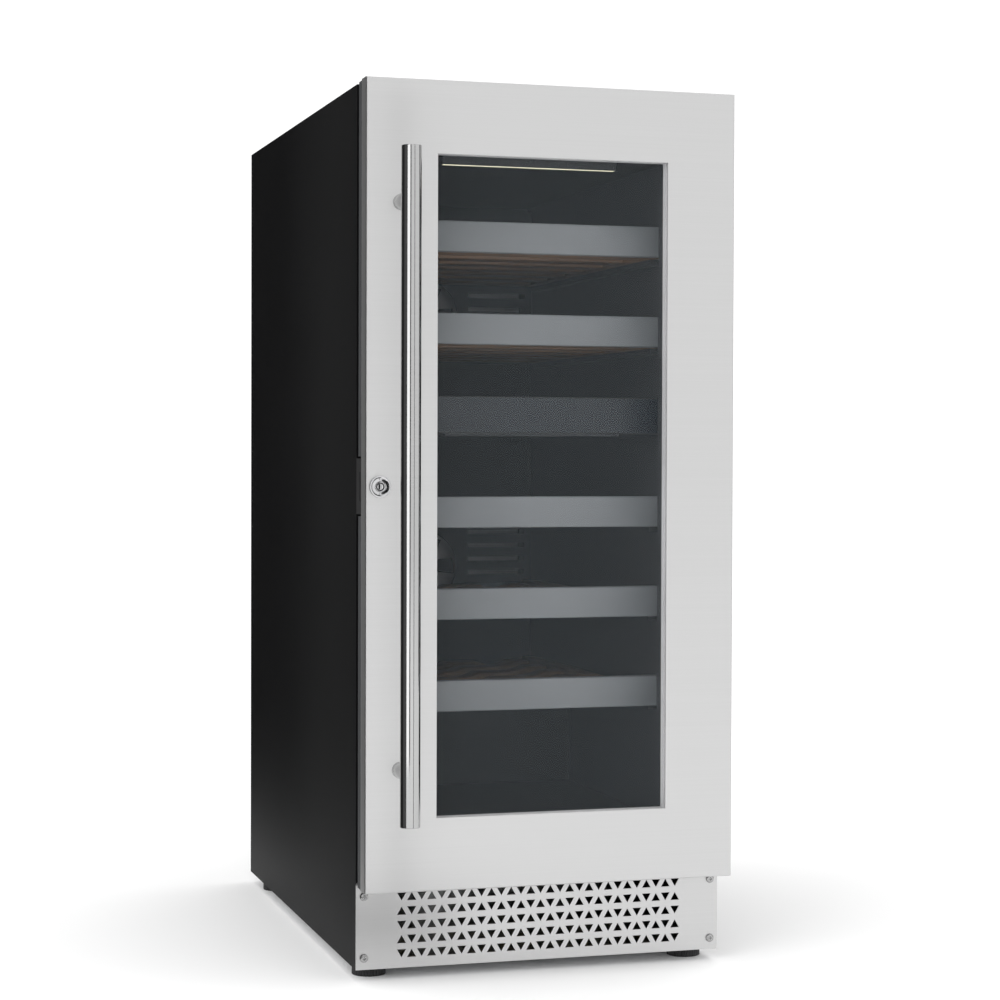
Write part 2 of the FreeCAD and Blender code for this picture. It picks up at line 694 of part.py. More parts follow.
def door_skin():
    tray = upright_plate("skin_tray", "door_face", "skin_depth", ("half_width", "door_low", "door_high"))
    doc.recompute()
    front_edges = [f"Edge{index}" for index, edge in enumerate(tray.Tip.Shape.Edges, start=1)
                   if edge.BoundBox.YMax < tray.Tip.Shape.BoundBox.YMin + size("sheet") / 2]
    pad = tray.Tip
    rounding = tray.newObject("PartDesign::Fillet", "skin_edges")
    rounding.Base = (pad, front_edges)
    rounding.setExpression("Radius", formula("skin_fillet"))
    tray.Tip = rounding
    inside = block("skin_inside", both("half_width - sheet"),
                   ("door_face + sheet", "door_face + skin_depth + overrun"),
                   ("door_low + sheet", "door_high - sheet"))
    window = block("skin_window", both("window_half"), ("door_face - overrun", "door_face + sheet + overrun"),
                   ("window_low", "window_high"))
    through = "sheet + 2 * overrun"
    lock_hole = rod("skin_lock_hole", "lock_barrel_radius", through, "lock_x", "door_face - overrun",
                    "door_middle", TO_REAR)
    screw_holes = [rod("skin_screw_hole", "handle_screw_radius", through, "handle_x", "door_face - overrun",
                       level, TO_REAR) for level in handle_levels()]
    notches = hinge_notches("skin_notch", "door_face + sheet", "door_face + skin_depth + overrun")
    keep(cut("door_skin", tray, inside, window, lock_hole, *screw_holes, *notches), "door_skin")


def door_inner_frame():
    blank = upright_plate("inner_blank", "door_face + sheet", "frame_back - door_face - sheet",
                          ("half_width - sheet", "door_low + sheet", "door_high - sheet"),
                          ("window_half + rear_lip", "window_low - rear_lip", "window_high + rear_lip"))
    rebate = block("glass_rebate", both("window_half + glass_lap"), ("door_face", "glass_back"),
                   ("window_low - glass_lap", "window_high + glass_lap"))
    groove = ring("gasket_groove_tool", gasket_edge("gasket_inset"), gasket_edge("gasket_inner"),
                  ("groove_front", "frame_back + overrun"))
    barrel = rod("barrel_hole", "lock_barrel_radius", "cam_front - door_face", "lock_x", "door_face",
                 "door_middle", TO_REAR)
    cam_room = "cam_reach + cam_clearance"
    cam_slot = block("cam_slot", ("-half_width", f"lock_x + {cam_room}"),
                     ("cam_front - cam_gap", "cam_back + cam_gap / 2"),
                     (f"door_middle - ({cam_room})", f"door_middle + {cam_room}"))
    strike_half = "strike_height / 2 + strike_room"
    strike_slot = block("strike_space", ("-half_width", "strike_thickness + strike_room - half_width"),
                        ("door_face + skin_depth", "frame_back + overrun"),
                        (f"door_middle - ({strike_half})", f"door_middle + {strike_half}"))
    heads = [rod("head_hole", "handle_screw_head", "handle_screw_head_height", "handle_x", "glass_front",
                 level, TO_REAR) for level in handle_levels()]
    notches = hinge_notches("inner_notch", "door_face", "frame_back + overrun")
    bushes = [rod("bush_hole", "bush_radius", "hinge_pin_length", "pivot_x", "pivot_y", start)
              for start in ("door_high - bush_seat - hinge_pin_length", "door_low + bush_seat")]
    tools = [rebate, groove, barrel, cam_slot, strike_slot, *heads, *notches, *bushes]
    keep(cut("door_inner_frame", blank, *tools), "door_inner_frame")


def hinge_bushes():
    flange = "hinge_gap * 2"
    end = f"{flange} + hinge_pin_length"
    wide = "bush_radius + bush_flange"
    points = [("bush_bore", 0), (wide, 0), (wide, flange), ("bush_radius", flange), ("bush_radius", end),
              ("bush_bore", end)]
    upper = turned("upper_bush", points, "pivot_x", "pivot_y", "door_high - bush_face", UPSIDE_DOWN)
    lower = turned("lower_bush", points, "pivot_x", "pivot_y", "door_low + bush_face")
    keep(join("hinge_bushes", upper, lower), "hinge_bushes")


def glazing():
    lap = "glass_lap"
    half = f"window_half + {lap}"
    heights = (f"window_low - {lap}", f"window_high + {lap}")
    keep(block("outer_glass", both(half), ("glass_front", "glass_middle"), heights), "outer_glass")
    keep(block("inner_glass", both(half), ("glass_rear", "glass_back"), heights), "inner_glass")
    width = "spacer_width"
    spacer = upright_plate("spacer_frame", "glass_middle", "glass_gap",
                           (f"window_half + {width}", f"window_low - {width}", f"window_high + {width}"),
                           ("window_half", "window_low", "window_high"))
    keep(spacer, "glass_spacer")


def gasket_edge(inset):
    """A rectangle that far in from the door's edges, as (half, low, high)."""
    return f"half_width - {inset}", f"door_low + {inset}", f"door_high - {inset}"


def door_gasket():
    gasket = upright_plate("gasket_ring", "groove_front", "case_front - groove_front",
                           gasket_edge("gasket_inset"), gasket_edge("gasket_inner"))
    keep(gasket, "door_gasket")


def handle():
    start = "door_middle - handle_length / 2"
    inner = "handle_radius - handle_edge"
    points = [(0, 0), (inner, 0), ("handle_radius", "handle_edge"),
              ("handle_radius", "handle_length - handle_edge"), (inner, "handle_length"),
              (0, "handle_length")]
    keep(turned("bar_turned", points, "handle_x", "handle_y", start), "handle_bar")
    posts = [rod("post", "post_radius", "handle_standoff", "handle_x", "handle_y", level, TO_REAR)
             for level in handle_levels()]
    room = rod("bar_room", "handle_radius", "handle_length", "handle_x", "handle_y", start)
    screw_end = "door_face - handle_screw_reach"
    tapped = [rod("tapped_hole", "handle_screw_radius", "handle_screw_reach", "handle_x", screw_end, level,
                  TO_REAR) for level in handle_levels()]
    keep(cut("handle_posts", join("post_pair", *posts), room, *tapped), "handle_posts")
    screws = []
    for level in handle_levels():
        screws.append(rod("handle_shank", "handle_screw_radius", "handle_screw_reach + sheet", "handle_x",
                          screw_end, level, TO_REAR))
        screws.append(rod("handle_head", "handle_screw_head", "handle_screw_head_height", "handle_x",
                          "door_face + sheet", level, TO_REAR))
    keep(join("handle_screws", *screws), "handle_screws")


def lock():
    bore = "lock_core_radius + lock_clearance"
    face = "lock_ring_height"
    end = "lock_ring_height + cam_front - door_face - cam_gap"
    housing = [(bore, "lock_dish"), ("lock_dish_radius", 0), ("lock_ring_radius - lock_ring_edge", 0),
               ("lock_ring_radius", "lock_ring_edge"), ("lock_ring_radius", face), ("lock_barrel_radius", face),
               ("lock_barrel_radius", end), (bore, end)]
    keep(turned("lock_turned", housing, "lock_x", f"door_face - {face}", "door_middle", TO_REAR),
         "lock_housing")
    front = "door_face - lock_ring_height + lock_dish"
    core = rod("core", "lock_core_radius", "lock_ring_height - lock_dish + cam_front - door_face", "lock_x",
               front, "door_middle", TO_REAR)
    outer = rod("keyway_outer", "keyway_radius", "keyway_depth + overrun", "lock_x", f"{front} - overrun",
                "door_middle", TO_REAR)
    pin = rod("keyway_inner", "keyway_pin", "keyway_depth + 2 * overrun", "lock_x", f"{front} - overrun",
              "door_middle", TO_REAR)
    keep(cut("lock_cylinder", core, cut("keyway", outer, pin)), "lock_cylinder")
    arm = block("cam_arm", ("lock_x - cam_width / 2", "lock_x + cam_width / 2"), ("cam_front", "cam_back"),
                ("door_middle - cam_width / 2", "door_middle + cam_reach"))
    keep(arm, "lock_cam")


# ---------------------------------------------------------------- shelves
def shelf_bases():
    """The underside of each shelf, from the lowest shelf up. Each zone's shelves are evenly spaced."""
    zones = (("lower_shelves", "step_high + first_over_step", "divider_base - last_under_divider"),
             ("upper_shelves", "divider_base + first_over_divider", "cavity_high - last_under_ceiling"))
    return [f"{first} + {index} / ({total} - 1) * ({last} - ({first}))"
            for total, first, last in zones for index in range(count(total))]


def cradle_offsets():
    return [f"{index} * cradle_pitch" for index in (-1, 0, 1)]


def shelves():
    slats = count("slat_count")
    for number, base in enumerate(shelf_bases(), start=1):
        trim = block(f"shelf_{number}_bar", both("trim_half"), ("door_face + shelf_front", "rack_front"),
                     (base, f"{base} + trim_height"))
        keep(trim, f"shelf_{number}_front")
        parts = []
        for side in (-1, 1):
            parts.append(block("rail", sided(side, "rack_half - rack_rail", "rack_half"),
                               ("rack_front", "rack_front + rack_length"), (base, f"{base} + rack_height")))
        for index in range(slats):
            start = f"rack_front + {index} * (rack_length - slat_width) / {slats - 1}"
            parts.append(block("slat", both("rack_half - rack_rail"), (start, f"{start} + slat_width"),
                               (base, f"{base} + slat_height")))
        cradles = [rod("cradle", "cradle_radius", "rack_length + 2 * overrun", offset, "rack_front - overrun",
                       f"{base} + slat_height - cradle_depth + cradle_radius", TO_REAR)
                   for offset in cradle_offsets()]
        rack = cut(f"shelf_{number}_cradled", join(f"shelf_{number}_blank", *parts), *cradles)
        keep(rack, f"shelf_{number}_rack")


def shelf_ledges():
    ledges = []
    for base in shelf_bases():
        upper = f"{base} - ledge_gap"
        for side in (-1, 1):
            ledges.append(block("ledge", sided(side, "cavity_half - ledge_width", "cavity_half"),
                                ("rack_front + ledge_width", "rack_front + rack_length"),
                                (f"{upper} - ledge_height", upper)))
    keep(join("shelf_ledges", *ledges), "shelf_ledges")


# ---------------------------------------------------------------- divider, control panel and lights
def divider():
    keep(block("divider_plate", both("cavity_half"), ("rack_front", "duct_front"),
               ("divider_base", "divider_top")), "zone_divider")
    panel = block("panel_bar", both("trim_half"), ("rack_front - panel_depth", "rack_front"),
                  ("divider_base", "divider_base + panel_height"))
    keep(panel, "control_panel")


def light_bars():
    depth = ("light_front", "light_front + light_depth")
    upper = block("upper_light", both("light_half"), depth, ("cavity_high - light_height", "cavity_high"))
    lower = block("lower_light", both("light_half"), ("rack_front", "rack_front + light_depth"),
                  ("divider_base - strip_height", "divider_base"))
    keep(join("light_bars", upper, lower), "light_bars")


# ---------------------------------------------------------------- air ducts and fans
def duct_levels():
    """Each zone's duct: its name and its (low, high) heights."""
    return (("upper", ("divider_top + duct_margin", "cavity_high - duct_margin")),
            ("lower", ("step_high + duct_margin", "divider_base - duct_margin")))


def fan_height(low, high):
    return f"(({low}) + ({high})) / 2"


def air_ducts():
    slots_start = "fan_radius + duct_slot_gap"
    for name, (low, high) in duct_levels():
        middle = fan_height(low, high)
        outside = block("duct_outside", both("duct_half"), ("duct_front", "cavity_rear"), (low, high))
        inside = block("duct_inside", both("duct_half - duct_wall"),
                       ("duct_front + duct_wall", "cavity_rear + overrun"),
                       (f"{low} + duct_wall", f"{high} - duct_wall"))
        opening = rod("duct_opening", "fan_radius + fan_tip_gap", "duct_wall + 2 * overrun", 0,
                      "duct_front - overrun", middle, TO_REAR)
        slots = []
        for index in range(count("duct_slots")):
            for side in (-1, 1):
                rise = f"{middle} + ({index} - (duct_slots - 1) / 2) * duct_slot_pitch"
                slots.append(block("duct_slot_tool", sided(side, slots_start, "duct_half - duct_margin"),
                                   ("duct_front - overrun", "duct_front + duct_wall + overrun"),
                                   (f"{rise} - duct_slot / 2", f"{rise} + duct_slot / 2")))
        keep(cut(f"{name}_duct_cut", outside, inside, opening, *slots), f"{name}_air_duct")


def fan_wheel(name, radius, front, x, z):
    """A hub with pitched blades, turning about an axis along Y."""
    parts = [rod(f"{name}_hub", "fan_hub", "fan_depth", x, front, z, TO_REAR)]
    total = count("fan_blades")
    for index in range(total):
        blade = doc.addObject("Part::Box", f"{name}_vane")
        blade.setExpression("Length", formula(f"{radius} - fan_hub / 2"))
        blade.setExpression("Width", formula("blade_thickness"))
        blade.setExpression("Height", formula("fan_depth"))
        spoke = FreeCAD.Rotation(FreeCAD.Vector(0, 1, 0), 360 * index / total + FIRST_BLADE)
        start = spoke.multVec(FreeCAD.Vector(1, 0, 0))
        place(blade, f"{x} + ({start.x:.6f}) * fan_hub / 2", f"{front} + blade_setback",
              f"{z} + ({start.z:.6f}) * fan_hub / 2", spoke.multiply(BLADE_PITCH))
        parts.append(blade)
    bore = rod(f"{name}_bore", "shaft_radius + shaft_clearance", "bore_depth", x,
               f"{front} + fan_depth - bore_depth", z, TO_REAR)
    return cut(f"{name}_wheel", join(f"{name}_blank", *parts), bore)


def motor(name, x, front, z, back):
    """A motor behind a fan wheel: its shaft reaches into the hub, its mount reaches back to the wall."""
    can_front = f"{front} + fan_depth + motor_gap"
    shaft = rod(f"{name}_shaft", "shaft_radius", "shaft_grip + motor_gap", x,
                f"{front} + fan_depth - shaft_grip", z, TO_REAR)
    can = rod(f"{name}_can", "motor_radius", "motor_length", x, can_front, z, TO_REAR)
    mount = block(f"{name}_mount", (f"{x} - motor_radius / 2", f"{x} + motor_radius / 2"),
                  (f"{can_front} + motor_length", back),
                  (f"{z} - motor_radius / 2", f"{z} + motor_radius / 2"))
    return join(name, shaft, can, mount)


def circulation():
    motors = []
    plates = []
    for name, (low, high) in duct_levels():
        middle = fan_height(low, high)
        front = "duct_front + duct_wall + fan_setback"
        keep(fan_wheel(f"{name}_fan", "fan_radius", front, "0", middle), f"{name}_fan_blade")
        motors.append(motor(f"{name}_motor", "0", front, middle, "cavity_rear - evaporator_plate"))
        plates.append(block("evaporator_panel", both("duct_half - 2 * duct_wall"),
                            ("cavity_rear - evaporator_plate", "cavity_rear"),
                            (f"{low} + 2 * duct_wall", f"{high} - 2 * duct_wall")))
    keep(join("fan_motors", *motors), "circulation_fan_motors")
    keep(join("evaporator_pair", *plates), "evaporators")


# ---------------------------------------------------------------- machine bay
def mount_places():
    return [(f"-compressor_side + {x} * mount_spacing / 2", f"compressor_y + {y} * mount_spacing / 2")
            for x in (-1, 1) for y in (-1, 1)]


def compressor():
    bevel = "compressor_shoulder / 3"
    inner = "compressor_radius - compressor_shoulder"
    points = [(0, 0), (inner, 0), (f"compressor_radius - {bevel}", bevel),
              ("compressor_radius", "compressor_shoulder"),
              ("compressor_radius", "compressor_height - compressor_shoulder"),
              (f"compressor_radius - {bevel}", f"compressor_height - {bevel}"), (inner, "compressor_height"),
              (0, "compressor_height")]
    shell = turned("compressor_shell", points, "-compressor_side", "compressor_y", "mount_top")
    plate = block("compressor_plate", ("-compressor_side - plate_half", "plate_half - compressor_side"),
                  ("compressor_y - plate_half", "compressor_y + plate_half"),
                  ("mount_top", "mount_top + compressor_foot"))
    keep(join("compressor_unit", shell, plate), "compressor")
    mounts = [rod("mount", "mount_radius", "mount_height", x, y, "pan_top") for x, y in mount_places()]
    keep(join("mount_set", *mounts), "compressor_mounts")


def condenser():
    back = "condenser_front + condenser_depth"
    row_pitch = "condenser_height / (tube_rows + 1)"
    depth = ("condenser_front", back)
    parts = []
    for index in range(count("fin_count")):
        x = f"condenser_left + {index} * (2 * condenser_half - fin_thickness) / (fin_count - 1)"
        parts.append(block("fin", (x, f"{x} + fin_thickness"), depth,
                           ("condenser_low", "condenser_low + condenser_height")))
    for index in range(count("tube_rows")):
        parts.append(rod("tube", "condenser_tube", "2 * condenser_half", "condenser_left",
                         "condenser_front + condenser_depth / 2",
                         f"condenser_low + {index + 1} * {row_pitch}", TO_RIGHT))
    for side in (-1, 1):
        x = f"condenser_side + {side} * condenser_half / 2"
        parts.append(block("leg", (f"{x} - condenser_tube", f"{x} + condenser_tube"), depth,
                           ("pan_top", f"condenser_low + {row_pitch}")))
    keep(join("condenser_stack", *parts), "condenser")
    middle = "condenser_low + condenser_height / 2"
    wheel_front = f"{back} + 2 * condenser_tube"
    keep(fan_wheel("condenser_fan", "condenser_fan_radius", wheel_front, "condenser_side", middle),
         "condenser_fan_blade")
    stand_front = f"{wheel_front} + fan_depth + motor_gap + motor_length"
    stand_back = f"{stand_front} + condenser_tube"
    drive = motor("condenser_drive", "condenser_side", wheel_front, middle, stand_back)
    stand = block("motor_stand", ("condenser_side - motor_radius / 2", "condenser_side + motor_radius / 2"),
                  (stand_front, stand_back), ("pan_top", middle))
    keep(join("condenser_fan_drive", drive, stand), "condenser_fan_motor")


def drip_tray():
    left = "-compressor_side - compressor_radius"
    right = "compressor_radius - compressor_side"
    front = "compressor_y - compressor_radius"
    back = "compressor_y + compressor_radius"
    outside = block("tray_outside", (left, right), (front, back), ("tray_low", "tray_low + tray_height"))
    inside = block("tray_inside", (f"{left} + tray_wall", f"{right} - tray_wall"),
                   (f"{front} + tray_wall", f"{back} - tray_wall"),
                   ("tray_low + tray_wall", "tray_low + tray_height + overrun"))
    hangers = [block("tray_hanger", (edge, f"{edge} + hanger_width"), (f"{front} - tray_wall", front),
                     ("tray_low", "bay_high")) for edge in (left, f"{right} - hanger_width")]
    keep(cut("tray_shell", join("tray_blank", outside, *hangers), inside), "drip_tray")


def control_box():
    keep(block("box_block", ("condenser_left", "condenser_right"),
               ("rear_inside - control_box_depth", "rear_inside"),
               ("bay_high - control_box_height", "bay_high")), "control_box")


def cord_gland():
    end = "gland_flange + sheet + gland_tail"
    points = [("gland_bore", 0), ("gland_radius", 0), ("gland_radius", "gland_flange"),
              ("gland_neck", "gland_flange"), ("gland_neck", end), ("gland_bore", end)]
    keep(turned("gland_turned", points, "-gland_side", "rear_face", "foot_height + gland_rise", TO_FRONT),
         "cord_gland")


def export():
    """Checks every object and writes each piece to parts/NODE.step."""
    doc.recompute()
    failed = [f"{item.Label}: {item.getStatusString()}" for item in doc.Objects
              if "Invalid" in item.State or "Error" in item.State]
    if failed:
        raise RuntimeError(f"objects failed to recompute: {failed}")
    os.makedirs("parts", exist_ok=True)
    for item in nodes:
        if item.Shape.isNull() or not item.Shape.isValid() or not item.Shape.Solids:
            raise RuntimeError(f"{item.Label} has no valid solid")
        item.Shape.exportStep(f"parts/{item.Label}.step")
        print(item.Label, round(item.Shape.Volume / 1000, 2), "cm3", len(item.Shape.Solids), "solids")
    print(len(nodes), "nodes")


side_panels()
top_panel()
rear_panel()
base_pan()
front_frame()
cabinet_foam()
inner_liner()
hinge_brackets()
lock_strike()
toe_grille()
toe_screws()
feet()
door_skin()
door_inner_frame()
hinge_bushes()
glazing()
door_gasket()
handle()
lock()
shelves()
shelf_ledges()
divider()
light_bars()
air_ducts()
circulation()
compressor()
condenser()
drip_tray()
control_box()
cord_gland()
export()
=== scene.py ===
"""Looks of a dual-zone under-counter wine cooler, laid out as an add-on and run as a script.

Everything is in metres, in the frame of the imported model: +X right, +Y to the rear, +Z up, floor at zero.
"""
import json
import math

import bmesh
import bpy
from mathutils import Matrix, Vector


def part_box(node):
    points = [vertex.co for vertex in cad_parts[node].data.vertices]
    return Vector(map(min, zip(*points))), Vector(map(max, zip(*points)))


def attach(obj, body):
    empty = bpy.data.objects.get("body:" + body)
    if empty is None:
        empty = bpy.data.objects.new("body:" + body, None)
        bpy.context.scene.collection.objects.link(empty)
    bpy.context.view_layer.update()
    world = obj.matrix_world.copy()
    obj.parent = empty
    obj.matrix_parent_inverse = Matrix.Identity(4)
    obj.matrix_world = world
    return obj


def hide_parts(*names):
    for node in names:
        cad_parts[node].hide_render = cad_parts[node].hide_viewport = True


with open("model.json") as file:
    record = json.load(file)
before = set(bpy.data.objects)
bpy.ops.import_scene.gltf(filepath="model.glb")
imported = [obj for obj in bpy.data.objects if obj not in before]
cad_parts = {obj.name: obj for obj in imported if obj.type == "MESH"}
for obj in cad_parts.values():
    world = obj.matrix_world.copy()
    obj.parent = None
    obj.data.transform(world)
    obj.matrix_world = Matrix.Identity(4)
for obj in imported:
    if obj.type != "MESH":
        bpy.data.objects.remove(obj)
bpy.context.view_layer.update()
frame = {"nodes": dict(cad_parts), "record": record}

bl_info = {
    "name": "Wine Cooler",
    "version": (1, 0, 0),
    "blender": (4, 5, 0),
    "location": "View3D > Sidebar > Cooler",
    "description": "Models and finishes an under-counter wine cooler on its packed frame",
    "category": "Object",
}

SHELVES = (1, 2, 3, 4, 5)
FEET = ("front_left_foot", "front_right_foot", "rear_left_foot", "rear_right_foot")
FANS = ("upper_fan", "lower_fan", "condenser_fan")
BLADES = 5  # on each fan wheel
SLATS = 7  # in each rack
FOOT_RIBS = 36
GASKET_FOLDS = 6
# sides of turned pieces, from the handle and lock down to screws and hubs
SIDES_FINE = 96
SIDES = 64
SIDES_SMALL = 48
SMOOTH_ANGLE = math.radians(35)
ROOT_PITCH = math.radians(34)  # of a fan blade at its hub
TIP_PITCH = math.radians(22)
FLOOR_SIZE = 60
SENSOR_WIDTH = 36  # millimetres, as the lens
CARD_THICKNESS = 0.002
# Cards that only reflections show, so that steel and chrome have dark and light bands. Most stand to the
# left; the lock flag, handle strip and toe flag stand just in front of what they darken.
# Each: name, brightness, middle, what it faces, width, height
CARDS = (
    ("left_flag", 0.03, (-0.30, 1.16, 0.9), (0.0, 1.16, 0.9), 1.84, 3.0),
    ("side_card", 0.42, (-0.30, 0.13, 0.9), (0.0, 0.13, 0.9), 0.22, 3.0),
    ("left_middle_flag", 0.03, (-0.30, -0.14, 0.9), (0.0, -0.14, 0.9), 0.32, 3.0),
    ("left_front_flag", 0.12, (-0.30, -0.3575, 0.9), (0.0, -0.3575, 0.9), 0.115, 3.0),
    ("left_card", 2.0, (-0.660, -0.873, 0.5), (-0.155, -0.317, 0.5), 0.40, 2.0),
    ("front_strip", 0.03, (-0.418, -1.019, 0.5), (-0.155, -0.317, 0.5), 0.14, 2.0),
    ("lock_flag", 0.02, (-0.1745, -0.2905, 0.485), (-0.1745, -0.277, 0.485), 0.005, 0.014),
    ("handle_strip", 0.20, (-0.1325, -0.3726, 0.46), (-0.155, -0.317, 0.46), 0.006, 0.84),
    ("right_flag", 0.12, (1.6, -0.15, 0.6), (-0.155, -0.317, 0.6), 0.6, 2.6),
    ("toe_flag", 0.38, (-0.25, -0.41, 0.01), (-0.25, -0.2, 0.01), 0.40, 0.08),
)
# studio lamps: name, middle, what it faces, size, watts
LAMPS = (
    ("left_front", (-2.5, -2.2, 1.0), (-0.15, -0.3, 0.4), 2.0, 40),
    ("overhead", (0.3, -0.8, 3.0), (0, 0, 0.4), 2.0, 12),
)


# ------------------------------------------------------------------ settings
class CoolerSizes(bpy.types.PropertyGroup):
    """Sizes of the details that the frame leaves open."""
    edge: bpy.props.FloatProperty(
        name="Edge", description="Rounding of moulded and cut edges", default=0.0008, unit="LENGTH")
    bar_edge: bpy.props.FloatProperty(
        name="Bar edge", description="Rounding of the ends of the handle", default=0.0009, unit="LENGTH")
    lock_ring: bpy.props.FloatProperty(
        name="Lock ring", description="Flat rim of the lock", default=0.0017, unit="LENGTH")
    lock_dish: bpy.props.FloatProperty(
        name="Lock dish", description="Depth of the lock's dished face", default=0.0014, unit="LENGTH")
    keyway: bpy.props.FloatProperty(
        name="Keyway", description="Width of the ring-shaped keyway", default=0.0010, unit="LENGTH")
    screw_head: bpy.props.FloatProperty(
        name="Screw head", description="Radius of a toe plate screw", default=0.0042, unit="LENGTH")
    screw_dome: bpy.props.FloatProperty(
        name="Screw dome", description="Height of a toe plate screw's head", default=0.0023, unit="LENGTH")
    foot_height: bpy.props.FloatProperty(
        name="Foot height", description="Foot under the cabinet", default=0.012, unit="LENGTH")
    stud: bpy.props.FloatProperty(
        name="Stud", description="Radius of the foot's stud", default=0.004, unit="LENGTH")
    gasket_width: bpy.props.FloatProperty(
        name="Gasket width", description="Section of the door gasket", default=0.010, unit="LENGTH")
    gasket_fold: bpy.props.FloatProperty(
        name="Gasket fold", description="Depth of the gasket's folds", default=0.0012, unit="LENGTH")
    rail: bpy.props.FloatProperty(
        name="Rail", description="Width of a rack's side rails", default=0.018, unit="LENGTH")
    slat_width: bpy.props.FloatProperty(
        name="Slat width", description="Width of a slat", default=0.032, unit="LENGTH")
    slat_height: bpy.props.FloatProperty(
        name="Slat height", description="Height of a slat", default=0.011, unit="LENGTH")
    cradle_radius: bpy.props.FloatProperty(
        name="Cradle radius", description="Round seat of a bottle", default=0.040, unit="LENGTH")
    cradle_depth: bpy.props.FloatProperty(
        name="Cradle depth", description="Depth of a bottle's seat", default=0.005, unit="LENGTH")
    cradle_pitch: bpy.props.FloatProperty(
        name="Cradle pitch", description="Bottle to bottle", default=0.078, unit="LENGTH")
    light_depth: bpy.props.FloatProperty(
        name="Light depth", description="Light bars, front to back", default=0.010, unit="LENGTH")
    light_height: bpy.props.FloatProperty(
        name="Light height", description="Height of the upper light bar", default=0.009, unit="LENGTH")
    strip_height: bpy.props.FloatProperty(
        name="Strip height", description="Height of the lower light bar", default=0.0024, unit="LENGTH")
    fan_hub: bpy.props.FloatProperty(
        name="Fan hub", description="Radius of a fan's hub", default=0.013, unit="LENGTH")
    blade_chord: bpy.props.FloatProperty(
        name="Blade chord", description="Width of a fan blade", default=0.020, unit="LENGTH")
    shoulder: bpy.props.FloatProperty(
        name="Shoulder", description="Rounding of the compressor shell", default=0.018, unit="LENGTH")
    seam: bpy.props.FloatProperty(
        name="Seam", description="Welded seam round the compressor shell", default=0.002, unit="LENGTH")


class CoolerColours(bpy.types.PropertyGroup):
    """Base colours of the finishes."""
    stainless: bpy.props.FloatVectorProperty(
        name="Stainless", description="Brushed door and toe plate", default=(0.57, 0.57, 0.57),
        subtype="COLOR")
    black_paint: bpy.props.FloatVectorProperty(
        name="Black paint", description="Powder coat on the cabinet", default=(0.0045, 0.0045, 0.005),
        subtype="COLOR")
    dark_moulding: bpy.props.FloatVectorProperty(
        name="Dark moulding", description="Door inner frame and liner", default=(0.045, 0.047, 0.050),
        subtype="COLOR")
    shelf_front: bpy.props.FloatVectorProperty(
        name="Shelf front", description="Satin bars in front of the racks", default=(0.21, 0.222, 0.235),
        subtype="COLOR")
    beech: bpy.props.FloatVectorProperty(
        name="Rack wood", description="Oiled wood of the racks", default=(0.30, 0.165, 0.085),
        subtype="COLOR")
    lamp: bpy.props.FloatVectorProperty(
        name="Lamp", description="Light of the light bars", default=(1.0, 0.93, 0.68), subtype="COLOR")


class CoolerStudio(bpy.types.PropertyGroup):
    """Camera and lights."""
    camera_place: bpy.props.FloatVectorProperty(
        name="Camera", description="Place of the camera", default=(-0.7005, -2.4551, 0.5161), unit="LENGTH")
    camera_turn: bpy.props.FloatProperty(
        name="Turn", description="Camera heading, to the right of straight ahead",
        default=math.radians(16.518), subtype="ANGLE")
    camera_tilt: bpy.props.FloatProperty(
        name="Tilt", description="Camera pitch", default=math.radians(-1.113), subtype="ANGLE")
    camera_roll: bpy.props.FloatProperty(
        name="Roll", description="Camera roll", default=math.radians(0.176), subtype="ANGLE")
    lens: bpy.props.FloatProperty(name="Lens", description="Focal length in millimetres", default=83.99)
    sky: bpy.props.FloatProperty(name="Sky", description="Brightness of the surroundings", default=1.14)


# ------------------------------------------------------------------ shader helpers
class Value:
    """A socket of a node tree; arithmetic on it adds Math nodes."""

    def __init__(self, tree, socket):
        self.tree = tree
        self.socket = socket

    def maths(self, operation, *others, swap=False):
        node = self.tree.nodes.new("ShaderNodeMath")
        node.operation = operation
        values = [self, *others]
        if swap:
            values.reverse()
        for socket, value in zip(node.inputs, values):
            feed(self.tree, socket, value)
        return Value(self.tree, node.outputs[0])

    def __add__(self, other):
        return self.maths("ADD", other)

    def __radd__(self, other):
        return self.maths("ADD", other)

    def __sub__(self, other):
        return self.maths("SUBTRACT", other)

    def __rsub__(self, other):
        return self.maths("SUBTRACT", other, swap=True)

    def __mul__(self, other):
        return self.maths("MULTIPLY", other)

    def __rmul__(self, other):
        return self.maths("MULTIPLY", other)


def feed(tree, socket, value):
    """Links a Value to a socket, or sets the socket's own value."""
    if isinstance(value, Value):
        tree.links.new(value.socket, socket)
    elif socket.type == "RGBA" and len(value) == 3:
        socket.default_value = (*value, 1.0)
    else:
        socket.default_value = value


